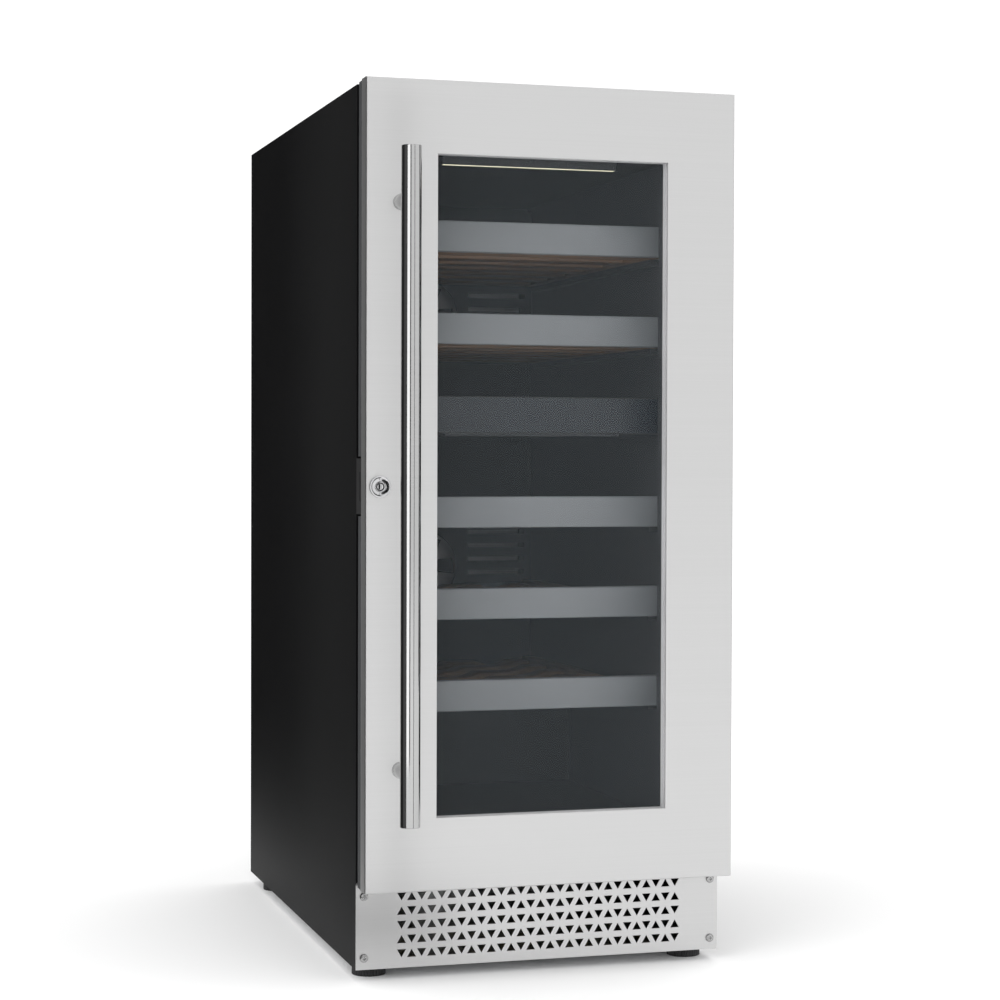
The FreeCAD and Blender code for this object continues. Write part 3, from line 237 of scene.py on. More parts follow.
class Finish:
    """A material under construction; one that came with the frame is built afresh under its own name."""

    def __init__(self, name):
        self.material = bpy.data.materials.get(name) or bpy.data.materials.new(name)
        self.material.use_nodes = True
        self.tree = self.material.node_tree
        self.tree.nodes.clear()

    def node(self, kind, settings=None, output=0, **inputs):
        """Adds a node, sets it up, feeds its inputs by name (spaces as underscores) and gives one output."""
        node = self.tree.nodes.new(kind)
        for key, value in (settings or {}).items():
            if key == "stops":
                for _ in range(len(value) - len(node.color_ramp.elements)):
                    node.color_ramp.elements.new(0.5)
                for element, (position, colour) in zip(node.color_ramp.elements, value):
                    element.position = position
                    element.color = (*colour, 1.0)
            else:
                setattr(node, key, value)
        for key, value in inputs.items():
            feed(self.tree, node.inputs[key.replace("_", " ")], value)
        return Value(self.tree, node.outputs[output])

    def place(self, stretch=(1, 1, 1)):
        """The point on the object, stretched."""
        point = self.node("ShaderNodeTexCoord", output="Object")
        return self.node("ShaderNodeMapping", Vector=point, Scale=stretch)

    def noise(self, scale, stretch=(1, 1, 1), detail=3.0, roughness=0.5):
        return self.node("ShaderNodeTexNoise", Vector=self.place(stretch), Scale=scale, Detail=detail,
                         Roughness=roughness, output="Fac")

    def shades(self, factor, *stops):
        return self.node("ShaderNodeValToRGB", {"stops": stops}, Fac=factor, output="Color")

    def bump(self, height, strength, distance):
        return self.node(
            "ShaderNodeBump", Height=height, Strength=strength, Distance=distance, output="Normal")

    def surface(self, **inputs):
        shader = self.node("ShaderNodeBsdfPrincipled", **inputs)
        self.node_output(shader)
        return self.material

    def emitter(self, tone):
        """A plain glow of that brightness."""
        cloud = self.noise(1.0)
        shade = self.shades(cloud, (0.3, (tone,) * 3), (0.7, (1.02 * tone,) * 3))
        glow = self.node("ShaderNodeEmission", Color=shade)
        self.node_output(glow)
        return self.material

    def node_output(self, shader):
        output = self.tree.nodes.new("ShaderNodeOutputMaterial")
        self.tree.links.new(shader.socket, output.inputs["Surface"])


def tint(colour, amount):
    return tuple(min(1.0, channel * amount) for channel in colour)


# ------------------------------------------------------------------ finishes
def brushed_steel(name, colour, grain, roughness=0.30):
    """Satin steel with fine grain lines; grain stretches the noise along the brushing."""
    finish = Finish(name)
    lines = finish.noise(1.0, grain, 4.0, 0.6)
    cloud = finish.noise(3.0, (1, 1, 1), 2.0)
    colour = finish.shades(lines, (0.25, tint(colour, 0.98)), (0.75, tint(colour, 1.02)))
    rough = roughness + 0.06 * lines + 0.05 * cloud
    normal = finish.bump(lines, 0.03, 0.0002)
    return finish.surface(Base_Color=colour, Metallic=1.0, Roughness=rough, Normal=normal)


def powder_coat(name, colour, roughness=0.42):
    finish = Finish(name)
    grain = finish.noise(1400.0, (1, 1, 1), 2.0)
    cloud = finish.noise(6.0)
    shade = finish.shades(cloud, (0.3, tint(colour, 0.85)), (0.7, tint(colour, 1.2)))
    normal = finish.bump(grain, 0.04, 0.0001)
    return finish.surface(
        Base_Color=shade, Roughness=roughness + 0.08 * grain, Specular_IOR_Level=0.04, Normal=normal)


def moulded(name, colour, roughness=0.5):
    finish = Finish(name)
    grain = finish.noise(900.0, (1, 1, 1), 3.0)
    cloud = finish.noise(9.0)
    shade = finish.shades(cloud, (0.3, tint(colour, 0.95)), (0.7, tint(colour, 1.05)))
    normal = finish.bump(grain, 0.01, 0.0001)
    return finish.surface(Base_Color=shade, Roughness=roughness + 0.1 * grain, Normal=normal)


def window_glass(name, colour, alpha):
    finish = Finish(name)
    haze = finish.noise(4.0)
    return finish.surface(Base_Color=colour, Roughness=0.02 + 0.02 * haze, Alpha=alpha, IOR=1.5)


def wood(name, colour):
    finish = Finish(name)
    rings = finish.noise(1.0, (6, 90, 160), 4.0, 0.55)
    fibres = finish.noise(1.0, (40, 900, 900), 2.0)
    shade = finish.shades(0.8 * rings + 0.2 * fibres, (0.3, tint(colour, 0.6)), (0.55, colour),
                          (0.75, tint(colour, 1.5)))
    normal = finish.bump(fibres, 0.2, 0.0004)
    return finish.surface(Base_Color=shade, Roughness=0.5 + 0.15 * rings, Normal=normal)


def foam(name):
    finish = Finish(name)
    cells = finish.noise(300.0, (1, 1, 1), 4.0)
    shade = finish.shades(cells, (0.3, (0.62, 0.50, 0.24)), (0.7, (0.80, 0.68, 0.40)))
    normal = finish.bump(cells, 0.4, 0.001)
    return finish.surface(Base_Color=shade, Roughness=0.9 - 0.1 * cells, Normal=normal)


def lamp(name, colour, strength):
    finish = Finish(name)
    beads = finish.noise(60.0, (1, 1, 1), 1.0)
    shade = finish.shades(beads, (0.3, tint(colour, 0.8)), (0.7, colour))
    return finish.surface(Base_Color=shade, Roughness=0.4, Emission_Color=shade, Emission_Strength=strength)


# ------------------------------------------------------------------ modelling helpers
TURNS = {"X": (0, math.pi / 2, 0), "Y": (math.pi / 2, 0, 0), "Z": (0, 0, 0)}


def deselect():
    bpy.ops.object.select_all(action="DESELECT")


def activate(*pieces):
    """Selects only these pieces, and makes the first one active."""
    deselect()
    for piece in pieces:
        piece.select_set(True)
    bpy.context.view_layer.objects.active = pieces[0]


def settle(name):
    """Names the new object and puts its place into its mesh."""
    bpy.context.object.name = name
    bpy.ops.object.transform_apply(location=True, rotation=True, scale=True)
    return bpy.context.object


def block(name, low, high):
    deselect()
    low, high = Vector(low), Vector(high)
    bpy.ops.mesh.primitive_cube_add(size=1, location=(low + high) / 2, scale=high - low)
    return settle(name)


def barrel(name, centre, radius, depth, axis="Z", sides=SIDES):
    deselect()
    bpy.ops.mesh.primitive_cylinder_add(
        vertices=sides, radius=radius, depth=depth, location=centre, rotation=TURNS[axis])
    return settle(name)


def modify(piece, kind, **settings):
    """Adds a modifier and applies it."""
    activate(piece)
    modifier = piece.modifiers.new(kind.title(), kind)
    for key, value in settings.items():
        setattr(modifier, key, value)
    bpy.ops.object.modifier_apply(modifier=modifier.name)


def round_edges(piece, width, segments=3, angle=40):
    modify(piece, "BEVEL", width=width, segments=segments, limit_method="ANGLE",
           angle_limit=math.radians(angle))


def carve(piece, cutter):
    """Takes the cutter's volume out of the piece."""
    modify(piece, "BOOLEAN", operation="DIFFERENCE", solver="EXACT", object=cutter)
    bpy.data.objects.remove(cutter)


def merge(*pieces):
    activate(*pieces)
    bpy.ops.object.join()
    return pieces[0]


def copied(piece, move=(0, 0, 0), turn=0.0, about=(0, 0, 0)):
    """A copy with its own mesh, turned about an axis along Y and then moved."""
    activate(piece)
    bpy.ops.object.duplicate()
    twin = bpy.context.object
    about = Vector(about)
    matrix = (Matrix.Translation(Vector(move) + about) @ Matrix.Rotation(turn, 4, "Y")
              @ Matrix.Translation(-about))
    twin.matrix_world = matrix
    bpy.ops.object.transform_apply(location=True, rotation=True, scale=True)
    return twin


def finished(piece, body, slot, *nodes):
    """Shades and paints a piece, and hands it to the frame in place of its nodes."""
    activate(piece)
    bpy.ops.object.shade_smooth_by_angle(angle=SMOOTH_ANGLE)
    if not piece.data.materials:
        piece.data.materials.append(bpy.data.materials[slot])
    if nodes:
        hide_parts(*nodes)
    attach(piece, body)
    return piece


class Edit:
    """Edit mode on a piece for the length of a with block."""

    def __init__(self, piece, kind="FACE"):
        self.piece = piece
        self.kind = kind

    def __enter__(self):
        activate(self.piece)
        bpy.ops.object.mode_set(mode="EDIT")
        bpy.ops.mesh.select_mode(type=self.kind)
        bpy.ops.mesh.select_all(action="DESELECT")
        return self

    def __exit__(self, *problem):
        bpy.ops.object.mode_set(mode="OBJECT")

    def pick(self, test):
        """Selects the faces or edges for which test is true, and nothing else."""
        bpy.ops.mesh.select_all(action="DESELECT")
        mesh = bmesh.from_edit_mesh(self.piece.data)
        for item in mesh.faces if self.kind == "FACE" else mesh.edges:
            if test(item):
                item.select_set(True)
        bmesh.update_edit_mesh(self.piece.data)

    def slice(self, place, normal):
        """Cuts new edges along a plane through the whole piece."""
        bpy.ops.mesh.select_all(action="SELECT")
        bpy.ops.mesh.bisect(plane_co=place, plane_no=normal)

    def push(self, *way):
        bpy.ops.mesh.extrude_region_move(TRANSFORM_OT_translate={"value": way})

    def inset(self, thickness, depth=0.0, **settings):
        bpy.ops.mesh.inset(thickness=thickness, depth=depth, **settings)


def facing(x=0, y=0, z=0):
    """A test for faces that look that way."""
    way = Vector((x, y, z))
    return lambda face: face.normal.dot(way) > 0.9


# ------------------------------------------------------------------ operators
class COOLER_OT_finishes(bpy.types.Operator):
    """Gives every node of the frame its finish"""
    bl_idname = "cooler.finishes"
    bl_label = "Finish the frame"

    def execute(self, context):
        colours = context.scene.cooler_colours
        steel = brushed_steel("stainless", colours.stainless, (3, 3, 900))
        black = powder_coat("black_steel", colours.black_paint)
        dark = moulded("dark_plastic", colours.dark_moulding)
        plastic = moulded("black_plastic", (0.014, 0.014, 0.015), 0.45)
        zinc = brushed_steel("zinc_steel", (0.55, 0.56, 0.57), (200, 200, 200), 0.4)
        finishes = {
            "stainless": steel,
            "handle_steel": brushed_steel("handle_steel", (0.46, 0.46, 0.46), (3, 3, 900), 0.05),
            "screw_steel": brushed_steel("screw_steel", (0.38, 0.38, 0.38), (60, 60, 60), 0.15),
            "lock_chrome": brushed_steel("lock_chrome", (0.55, 0.55, 0.56), (60, 60, 60), 0.05),
            "zinc_steel": zinc,
            "black_steel": black,
            "black_plastic": plastic,
            "dark_plastic": dark,
            "gasket_rubber": moulded("gasket_rubber", (0.03, 0.03, 0.032), 0.7),
            "tinted_glass": window_glass("tinted_glass", (0.125, 0.145, 0.16), 0.04),
            "spacer_aluminium": moulded("spacer_aluminium", (0.62, 0.62, 0.63), 0.45),
            "heat_aluminium": brushed_steel("heat_aluminium", (0.65, 0.65, 0.66), (300, 300, 300), 0.35),
            "insulation_foam": foam("insulation_foam"),
            "shelf_trim": moulded("shelf_trim", colours.shelf_front, 0.4),
            "beech_wood": wood("beech_wood", colours.beech),
            "light_diffuser": lamp("light_diffuser", colours.lamp, 2.0),
        }
        lamp("light_lens", colours.lamp, 1.3)
        lamp("light_glow", (0.92, 0.97, 1.0), 4.0)
        moulded("panel_fascia", (0.008, 0.012, 0.018), 0.3)
        for entry in frame["record"]["subparts"]:
            node = frame["nodes"][entry["node"]]
            finish = finishes[entry["material_slot"]]
            for index in range(max(1, len(node.material_slots))):
                if index < len(node.material_slots):
                    node.material_slots[index].material = finish
                else:
                    node.data.materials.append(finish)
        return {"FINISHED"}


class COOLER_OT_handle(bpy.types.Operator):
    """Turns the handle bar and its two posts"""
    bl_idname = "cooler.handle"
    bl_label = "Handle"

    def execute(self, context):
        sizes = context.scene.cooler_sizes
        low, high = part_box("handle_bar")
        centre = (low + high) / 2
        radius = (high.x - low.x) / 2
        length = high.z - low.z
        bar = barrel("handle_bar_turned", centre, radius, length, "Z", SIDES_FINE)
        with Edit(bar) as edit:
            edit.pick(lambda face: abs(face.normal.z) > 0.9)
            edit.inset(radius / 2)
        round_edges(bar, sizes.bar_edge, 4)
        finished(bar, "door", "handle_steel", "handle_bar")
        low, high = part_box("handle_posts")
        post_radius = (high.x - low.x) / 2
        posts = []
        for level in (low.z + post_radius, high.z - post_radius):
            middle = (centre.x, (centre.y + high.y) / 2, level)
            post = barrel("handle_post", middle, post_radius, high.y - centre.y, "Y")
            carve(post, barrel("bar_room", centre, radius, length, "Z", SIDES_FINE))
            round_edges(post, sizes.edge / 2, 2)
            posts.append(post)
        pair = merge(*posts)
        pair.data.materials.append(bpy.data.materials["handle_steel"])
        finished(pair, "door", "stainless", "handle_posts")
        return {"FINISHED"}


class COOLER_OT_lock(bpy.types.Operator):
    """Models the lock's dished ring and its cylinder with a ring-shaped keyway"""
    bl_idname = "cooler.lock"
    bl_label = "Lock"

    def execute(self, context):
        sizes = context.scene.cooler_sizes
        low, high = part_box("lock_housing")
        core_low, core_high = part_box("lock_cylinder")
        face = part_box("door_skin")[0].y
        centre = (low + high) / 2
        radius = (high.x - low.x) / 2
        core_radius = (core_high.x - core_low.x) / 2
        middle = (centre.x, (low.y + face) / 2, centre.z)
        ring = barrel("lock_ring", middle, radius, face - low.y, "Y", SIDES_FINE)
        with Edit(ring) as edit:
            edit.pick(facing(y=1))
            edit.inset(radius / 4)
            edit.push(0, high.y - face, 0)
            edit.pick(facing(y=-1))
            edit.inset(sizes.lock_ring)
            edit.inset(radius - sizes.lock_ring - core_radius - sizes.edge / 8, -sizes.lock_dish)
            edit.push(0, 2 * sizes.lock_dish, 0)
        round_edges(ring, sizes.edge / 2, 3, 20)
        finished(ring, "door", "lock_chrome", "lock_housing")
        middle = (centre.x, (core_low.y + core_high.y) / 2, centre.z)
        core = barrel("lock_core", middle, core_radius, core_high.y - core_low.y, "Y")
        pin_radius = core_radius - 2 * sizes.keyway
        core.data.materials.append(bpy.data.materials["lock_chrome"])
        core.data.materials.append(bpy.data.materials["black_plastic"])
        with Edit(core) as edit:
            edit.pick(facing(y=-1))
            edit.inset(sizes.keyway)
            edit.inset(sizes.keyway)
            edit.pick(lambda face: face.normal.y < -0.9 and pin_radius
                      < (face.calc_center_median() - Vector(middle)).xz.length < pin_radius + sizes.keyway)
            edit.push(0, 2 * sizes.keyway, 0)
            core.active_material_index = 1
            bpy.ops.object.material_slot_assign()
        round_edges(core, sizes.edge / 4, 2)
        finished(core, "lock", "lock_chrome", "lock_cylinder")
        return {"FINISHED"}


class COOLER_OT_screws(bpy.types.Operator):
    """Models one pan head screw with a cross recess and sets four in the toe plate"""
    bl_idname = "cooler.screws"
    bl_label = "Toe plate screws"

    def execute(self, context):
        sizes = context.scene.cooler_sizes
        low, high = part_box("toe_grille_screws")
        radius, dome = sizes.screw_head, sizes.screw_dome
        first = Vector((low.x + radius, low.y + dome / 2, low.z + radius))
        screw = barrel("toe_screws", first, radius, dome, "Y", SIDES_SMALL)
        with Edit(screw, "EDGE") as edit:
            edit.pick(lambda edge: all(vertex.co.y < low.y + dome / 4 for vertex in edge.verts))
            bpy.ops.mesh.bevel(offset=0.75 * dome, segments=5, affect="EDGES")
        for arm in ((radius / 2, radius / 8), (radius / 8, radius / 2)):
            reach = Vector((arm[0], dome / 2, arm[1]))
            slot = block("screw_slot", first - Vector((0, dome / 2, 0)) - reach,
                         first - Vector((0, dome / 2, 0)) + reach)
            with Edit(slot) as edit:
                edit.pick(facing(y=1))
                bpy.ops.transform.resize(value=(0.6, 1, 0.6))
            carve(screw, slot)
        round_edges(screw, sizes.edge / 8, 2, 50)
        across = Vector((high.x - low.x - 2 * radius, 0, 0))
        up = Vector((0, 0, high.z - low.z - 2 * radius))
        twins = [copied(screw, move) for move in (across, up, across + up)]
        finished(merge(screw, *twins), "cabinet", "screw_steel", "toe_grille_screws")
        return {"FINISHED"}


class COOLER_OT_feet(bpy.types.Operator):
    """Models one levelling foot with a ribbed rim and copies it to the four corners"""
    bl_idname = "cooler.feet"
    bl_label = "Feet"

    def execute(self, context):
        sizes = context.scene.cooler_sizes
        low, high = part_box(FEET[0])
        centre = (low + high) / 2
        radius = (high.x - low.x) / 2
        middle = (centre.x, centre.y, sizes.foot_height / 2)
        foot = barrel("foot", middle, radius, sizes.foot_height, "Z", 2 * FOOT_RIBS)
        with Edit(foot) as edit:
            edit.pick(facing(z=1))
            edit.inset(radius - sizes.stud)
            edit.push(0, 0, high.z - sizes.foot_height)
            edit.pick(lambda face: abs(face.normal.z) < 0.1 and self.rib(face, centre)
                      and face.calc_center_median().z < sizes.foot_height)
            edit.inset(sizes.edge / 2, -sizes.edge, use_individual=True)
            edit.pick(facing(z=-1))
            edit.inset(2 * sizes.edge)
            edit.inset(sizes.edge, -sizes.edge)
        round_edges(foot, sizes.edge / 2, 2, 60)
        for name in FEET[1:]:
            twin = copied(foot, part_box(name)[0] - low)
            twin.name = f"{name}_ribbed"
            finished(twin, name, "black_plastic", name)
        foot.name = f"{FEET[0]}_ribbed"
        finished(foot, FEET[0], "black_plastic", FEET[0])
        return {"FINISHED"}

    def rib(self, face, centre):
        """True for every second face round the rim."""
        way = face.calc_center_median() - centre
        return round((math.atan2(way.y, way.x) / math.pi + 1) * FOOT_RIBS - 0.5) % 2 == 0


class COOLER_OT_gasket(bpy.types.Operator):
    """Folds the door gasket's bellows"""
    bl_idname = "cooler.gasket"
    bl_label = "Door gasket"

    def execute(self, context):
        sizes = context.scene.cooler_sizes
        low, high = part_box("door_gasket")
        gasket = block("gasket_bellows", low, high)
        pitch = (high.y - low.y) / GASKET_FOLDS
        with Edit(gasket) as edit:
            edit.pick(lambda face: abs(face.normal.y) > 0.9)
            bpy.ops.mesh.delete(type="FACE")
            for index in range(1, GASKET_FOLDS):
                edit.slice((0, low.y + pitch * index, 0), (0, 1, 0))
        width = high - low
        shrink = Vector(((width.x - 2 * sizes.gasket_fold) / width.x, 1,
                         (width.z - 2 * sizes.gasket_fold) / width.z))
        with Edit(gasket, "EDGE") as edit:
            edit.pick(lambda edge: all(
                round((vertex.co.y - low.y) / pitch) % 2 == 1 for vertex in edge.verts))
            bpy.ops.transform.resize(value=shrink)
        modify(gasket, "SOLIDIFY", thickness=sizes.gasket_width, offset=-1, use_even_offset=True)
        finished(gasket, "door", "gasket_rubber", "door_gasket")
        return {"FINISHED"}


class COOLER_OT_shelves(bpy.types.Operator):
    """Models each shelf's front bar, and its slatted wooden rack with round seats for the bottles"""
    bl_idname = "cooler.shelves"
    bl_label = "Shelves"

    def execute(self, context):
        sizes = context.scene.cooler_sizes
        rack = self.rack(sizes, "shelf_1_rack")
        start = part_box("shelf_1_rack")[0]
        for number in SHELVES:
            low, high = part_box(f"shelf_{number}_front")
            front = block(f"shelf_{number}_bar", low, high)
            with Edit(front, "EDGE") as edit:
                edit.pick(lambda edge: all(vertex.co.y < low.y + sizes.edge for vertex in edge.verts)
                          and abs(edge.verts[0].co.z - edge.verts[1].co.z) < sizes.edge)
                bpy.ops.mesh.bevel(offset=1.5 * sizes.edge, segments=3, affect="EDGES")
            round_edges(front, sizes.edge / 2, 2, 60)
            finished(front, f"shelf_{number}", "shelf_trim", f"shelf_{number}_front")
            piece = copied(rack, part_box(f"shelf_{number}_rack")[0] - start)
            piece.name = f"shelf_{number}_slats"
            finished(piece, f"shelf_{number}", "beech_wood", f"shelf_{number}_rack")
        bpy.data.objects.remove(rack)
        return {"FINISHED"}

    def rack(self, sizes, node):
        low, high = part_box(node)
        inner = high.x - sizes.rail
        pitch = (high.y - low.y - sizes.slat_width) / (SLATS - 1)
        slats = block("rack_slats", (-inner, low.y, low.z),
                      (inner, low.y + sizes.slat_width, low.z + sizes.slat_height))
        modify(slats, "ARRAY", count=SLATS, use_relative_offset=False, use_constant_offset=True,
               constant_offset_displace=(0, pitch, 0))
        seat = low.z + sizes.slat_height - sizes.cradle_depth + sizes.cradle_radius
        middle = (low.y + high.y) / 2
        for step in (-1, 0, 1):
            carve(slats, barrel("seat", (step * sizes.cradle_pitch, middle, seat), sizes.cradle_radius,
                                1.1 * (high.y - low.y), "Y", SIDES_FINE))
        round_edges(slats, sizes.edge, 2)
        rails = []
        for side in (-1, 1):
            ends = sorted((side * inner, side * high.x))
            rail = block("rack_rail", (ends[0], low.y, low.z), (ends[1], high.y, high.z))
            round_edges(rail, 1.5 * sizes.edge, 3)
            rails.append(rail)
        return merge(slats, *rails)


class COOLER_OT_panel(bpy.types.Operator):
    """Models the control panel with a glossy inset fascia"""
    bl_idname = "cooler.control_panel"
    bl_label = "Control panel"

    def execute(self, context):
        sizes = context.scene.cooler_sizes
        low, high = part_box("control_panel")
        panel = block("control_fascia", low, high)
        panel.data.materials.append(bpy.data.materials["black_plastic"])
        panel.data.materials.append(bpy.data.materials["panel_fascia"])
        with Edit(panel) as edit:
            edit.pick(facing(y=-1))
            edit.inset(1.2 * sizes.edge)
            edit.inset(sizes.edge / 4, -sizes.edge / 4)
            panel.active_material_index = 1
            bpy.ops.object.material_slot_assign()
        round_edges(panel, sizes.edge / 2, 3, 60)
        finished(panel, "cabinet", "black_plastic", "control_panel")
        return {"FINISHED"}


class COOLER_OT_lights(bpy.types.Operator):
    """Models the two light bars: a channel with a lit lens over its lamps"""
    bl_idname = "cooler.lights"
    bl_label = "Light bars"

    def execute(self, context):
        sizes = context.scene.cooler_sizes
        low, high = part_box("light_bars")
        upper = self.bar("upper_light_bar", (low.x, high.y - sizes.light_depth, high.z - sizes.light_height),
                         high, sizes.edge, "light_lens")
        finished(upper, "cabinet", "light_diffuser", "light_bars")
        lower = self.bar("lower_light_bar", low,
                         (high.x, low.y + sizes.light_depth, low.z + sizes.strip_height), sizes.edge / 2,
                         "light_glow")
        finished(lower, "cabinet", "light_diffuser", "light_bars")
        return {"FINISHED"}

    def bar(self, name, low, high, rim, lens):
        channel = block(name, low, high)
        channel.data.materials.append(bpy.data.materials["dark_plastic"])
        channel.data.materials.append(bpy.data.materials[lens])
        with Edit(channel) as edit:
            edit.pick(facing(z=-1))
            edit.inset(rim)
            edit.inset(rim / 4, -rim / 2)
            channel.active_material_index = 1
            bpy.ops.object.material_slot_assign()
            edit.pick(facing(y=-1))
            edit.inset(rim)
        round_edges(channel, rim / 4, 2, 60)
        return channel


class COOLER_OT_fans(bpy.types.Operator):
    """Models the three fan wheels: a domed hub with twisted blades"""
    bl_idname = "cooler.fans"
    bl_label = "Fans"

    def execute(self, context):
        sizes = context.scene.cooler_sizes
        for name in FANS:
            low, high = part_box(f"{name}_blade")
            centre = (low + high) / 2
            reach = (high.x - low.x) / 2 - sizes.edge
            depth = high.y - low.y
            hub = barrel(f"{name}_wheel", centre, sizes.fan_hub, depth, "Y", SIDES_SMALL)
            with Edit(hub, "EDGE") as edit:
                edit.pick(lambda edge: all(vertex.co.y < low.y + depth / 4 for vertex in edge.verts))
                bpy.ops.mesh.bevel(offset=depth / 3, segments=4, affect="EDGES")
            blade = self.blade(sizes, centre, reach, depth)
            blades = [copied(blade, turn=index * 2 * math.pi / BLADES, about=centre)
                      for index in range(1, BLADES)]
            finished(merge(hub, blade, *blades), name, "black_plastic", f"{name}_blade")
        return {"FINISHED"}

    def blade(self, sizes, centre, reach, depth):
        """One blade along +X from the hub, turned more steeply at its root than at its tip."""
        thick = sizes.edge
        start = centre.x + sizes.fan_hub / 2
        end = centre.x + reach
        blade = block("fan_vane", (start, centre.y - thick, centre.z - sizes.blade_chord / 2),
                      (end, centre.y + thick, centre.z + sizes.blade_chord / 2))
        cuts = 8
        with Edit(blade) as edit:
            for index in range(1, cuts):
                edit.slice((start + (end - start) * index / cuts, 0, 0), (1, 0, 0))
        for vertex in blade.data.vertices:
            share = (vertex.co.x - start) / (end - start)
            pitch = ROOT_PITCH + (TIP_PITCH - ROOT_PITCH) * share
            offset = vertex.co - centre
            width = 0.7 + 0.3 * share
            across, along = offset.z * width, offset.y
            vertex.co.z = centre.z + across * math.cos(pitch) - along * math.sin(pitch)
            vertex.co.y = centre.y + across * math.sin(pitch) + along * math.cos(pitch)
        round_edges(blade, thick / 2, 2, 50)
        return blade


class COOLER_OT_compressor(bpy.types.Operator):
    """Models the compressor's welded shell on its foot plate"""
    bl_idname = "cooler.compressor"
    bl_label = "Compressor"

    def execute(self, context):
        sizes = context.scene.cooler_sizes
        low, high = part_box("compressor")
        tray_low, tray_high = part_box("drip_tray")
        centre = (low + high) / 2
        radius = (tray_high.x - tray_low.x) / 2
        shell = barrel("compressor_shell", centre, radius - sizes.seam, high.z - low.z, "Z", 80)
        with Edit(shell, "EDGE") as edit:
            edit.pick(lambda edge: abs(edge.verts[0].co.z - edge.verts[1].co.z) < sizes.seam)
            bpy.ops.mesh.bevel(offset=sizes.shoulder, segments=8, affect="EDGES")
        with Edit(shell) as edit:
            for side in (-1, 1):
                edit.slice((0, 0, centre.z + side * 1.5 * sizes.seam), (0, 0, 1))
            edit.pick(lambda face: abs(face.calc_center_median().z - centre.z) < sizes.seam)
            bpy.ops.mesh.extrude_region_shrink_fatten(TRANSFORM_OT_shrink_fatten={"value": -sizes.seam})
        plate = block("compressor_foot", low, (high.x, high.y, low.z + 1.5 * sizes.seam))
        with Edit(plate, "EDGE") as edit:
            edit.pick(lambda edge: abs(edge.verts[0].co.z - edge.verts[1].co.z) > sizes.seam)
            bpy.ops.mesh.bevel(offset=sizes.shoulder / 2, segments=6, affect="EDGES")
        round_edges(plate, sizes.edge / 2, 2, 60)
        finished(merge(shell, plate), "cabinet", "black_steel", "compressor")
        return {"FINISHED"}


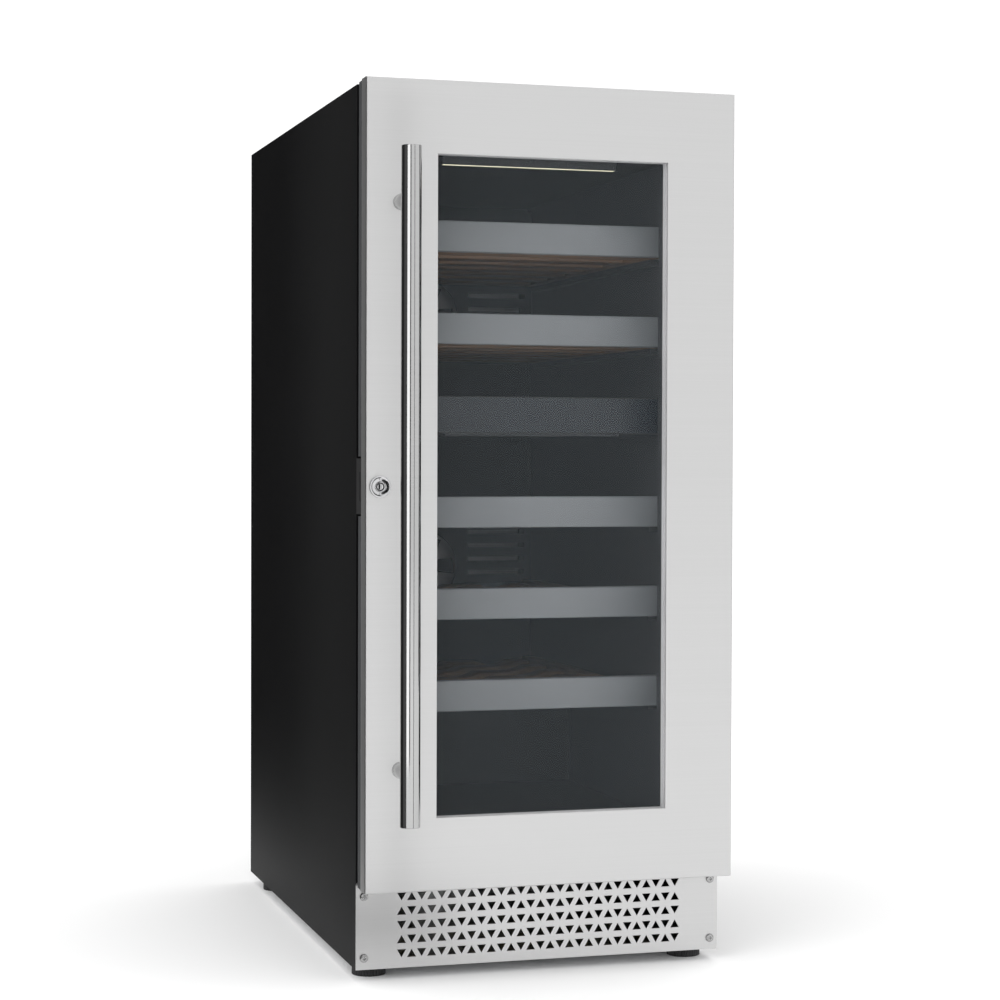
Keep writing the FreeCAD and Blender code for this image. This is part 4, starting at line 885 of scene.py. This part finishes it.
class COOLER_OT_stage(bpy.types.Operator):
    """Lays the floor, hangs the lights and cards, and places the camera"""
    bl_idname = "cooler.stage"
    bl_label = "Stage"

    def execute(self, context):
        studio = context.scene.cooler_studio
        deselect()
        bpy.ops.mesh.primitive_plane_add(size=FLOOR_SIZE, location=(0, 0, 0))
        floor = context.object
        floor.name = "floor"
        finish = Finish("floor")
        dust = finish.noise(2.0)
        shade = finish.shades(dust, (0.3, (0.96, 0.96, 0.96)), (0.7, (0.98, 0.98, 0.98)))
        floor.data.materials.append(
            finish.surface(Base_Color=shade, Roughness=0.9, Specular_IOR_Level=0.0))
        world = bpy.data.worlds.new("studio")
        context.scene.world = world
        # lets the cards hide the sky in reflections
        world.cycles.sampling_method = "NONE"
        world.use_nodes = True
        world.node_tree.nodes["Background"].inputs["Color"].default_value = (1, 1, 1, 1)
        world.node_tree.nodes["Background"].inputs["Strength"].default_value = studio.sky
        context.scene.view_settings.view_transform = "Standard"
        for name, tone, place, aim, width, height in CARDS:
            self.card(name, tone, place, aim, width, height)
        for name, place, aim, size, watts in LAMPS:
            self.softbox(name, place, aim, size, watts)
        # the door doesn't mirror its own handle
        for name in ("handle_bar_turned", "handle_post"):
            bpy.data.objects[name].visible_glossy = False
        self.camera(context, studio)
        return {"FINISHED"}

    def card(self, name, tone, place, aim, width, height):
        """An upright card that only reflections show."""
        deselect()
        heading = math.atan2(aim[0] - place[0], place[1] - aim[1])
        bpy.ops.mesh.primitive_cube_add(
            size=1, location=place, rotation=(0, 0, heading), scale=(width, CARD_THICKNESS, height))
        card = settle(name)
        finish = Finish(name)
        card.data.materials.append(finish.emitter(tone))
        for ray in ("camera", "diffuse", "transmission", "volume_scatter", "shadow"):
            setattr(card, f"visible_{ray}", False)

    def softbox(self, name, place, aim, size, watts):
        bpy.ops.object.light_add(type="AREA", location=place)
        light = bpy.context.object
        light.name = name
        light.data.size = size
        light.data.energy = watts
        light.visible_glossy = False
        light.rotation_euler = (Vector(aim) - Vector(place)).to_track_quat("-Z", "Y").to_euler()

    def camera(self, context, studio):
        turn, tilt = studio.camera_turn, studio.camera_tilt
        ahead = Vector((math.sin(turn) * math.cos(tilt), math.cos(turn) * math.cos(tilt), math.sin(tilt)))
        right = Vector((math.cos(turn), -math.sin(turn), 0))
        up = right.cross(ahead)
        rolled = right * math.cos(studio.camera_roll) + up * math.sin(studio.camera_roll)
        upright = rolled.cross(ahead)
        bpy.ops.object.camera_add(location=studio.camera_place)
        camera = context.object
        camera.name = "camera"
        camera.rotation_mode = "QUATERNION"
        camera.rotation_quaternion = Matrix((rolled, upright, -ahead)).transposed().to_quaternion()
        camera.data.lens = studio.lens
        camera.data.sensor_width = SENSOR_WIDTH
        context.scene.camera = camera


class COOLER_PT_panel(bpy.types.Panel):
    """Lists the cooler's operators"""
    bl_idname = "COOLER_PT_panel"
    bl_label = "Wine cooler"
    bl_space_type = "VIEW_3D"
    bl_region_type = "UI"
    bl_category = "Cooler"

    def draw(self, context):
        for operator in OPERATORS:
            self.layout.operator(operator.bl_idname)


OPERATORS = (COOLER_OT_finishes, COOLER_OT_handle, COOLER_OT_lock, COOLER_OT_screws, COOLER_OT_feet,
             COOLER_OT_gasket, COOLER_OT_shelves, COOLER_OT_panel, COOLER_OT_lights, COOLER_OT_fans,
             COOLER_OT_compressor, COOLER_OT_stage)
CLASSES = (CoolerSizes, CoolerColours, CoolerStudio, *OPERATORS, COOLER_PT_panel)


def register():
    for item in CLASSES:
        bpy.utils.register_class(item)
    bpy.types.Scene.cooler_sizes = bpy.props.PointerProperty(type=CoolerSizes)
    bpy.types.Scene.cooler_colours = bpy.props.PointerProperty(type=CoolerColours)
    bpy.types.Scene.cooler_studio = bpy.props.PointerProperty(type=CoolerStudio)


def unregister():
    del bpy.types.Scene.cooler_studio
    del bpy.types.Scene.cooler_colours
    del bpy.types.Scene.cooler_sizes
    for item in reversed(CLASSES):
        bpy.utils.unregister_class(item)


def main():
    """Builds the whole visual model."""
    register()
    for operator in OPERATORS:
        group, name = operator.bl_idname.split(".")
        getattr(getattr(bpy.ops, group), name)()


if __name__ == "__main__":
    main()
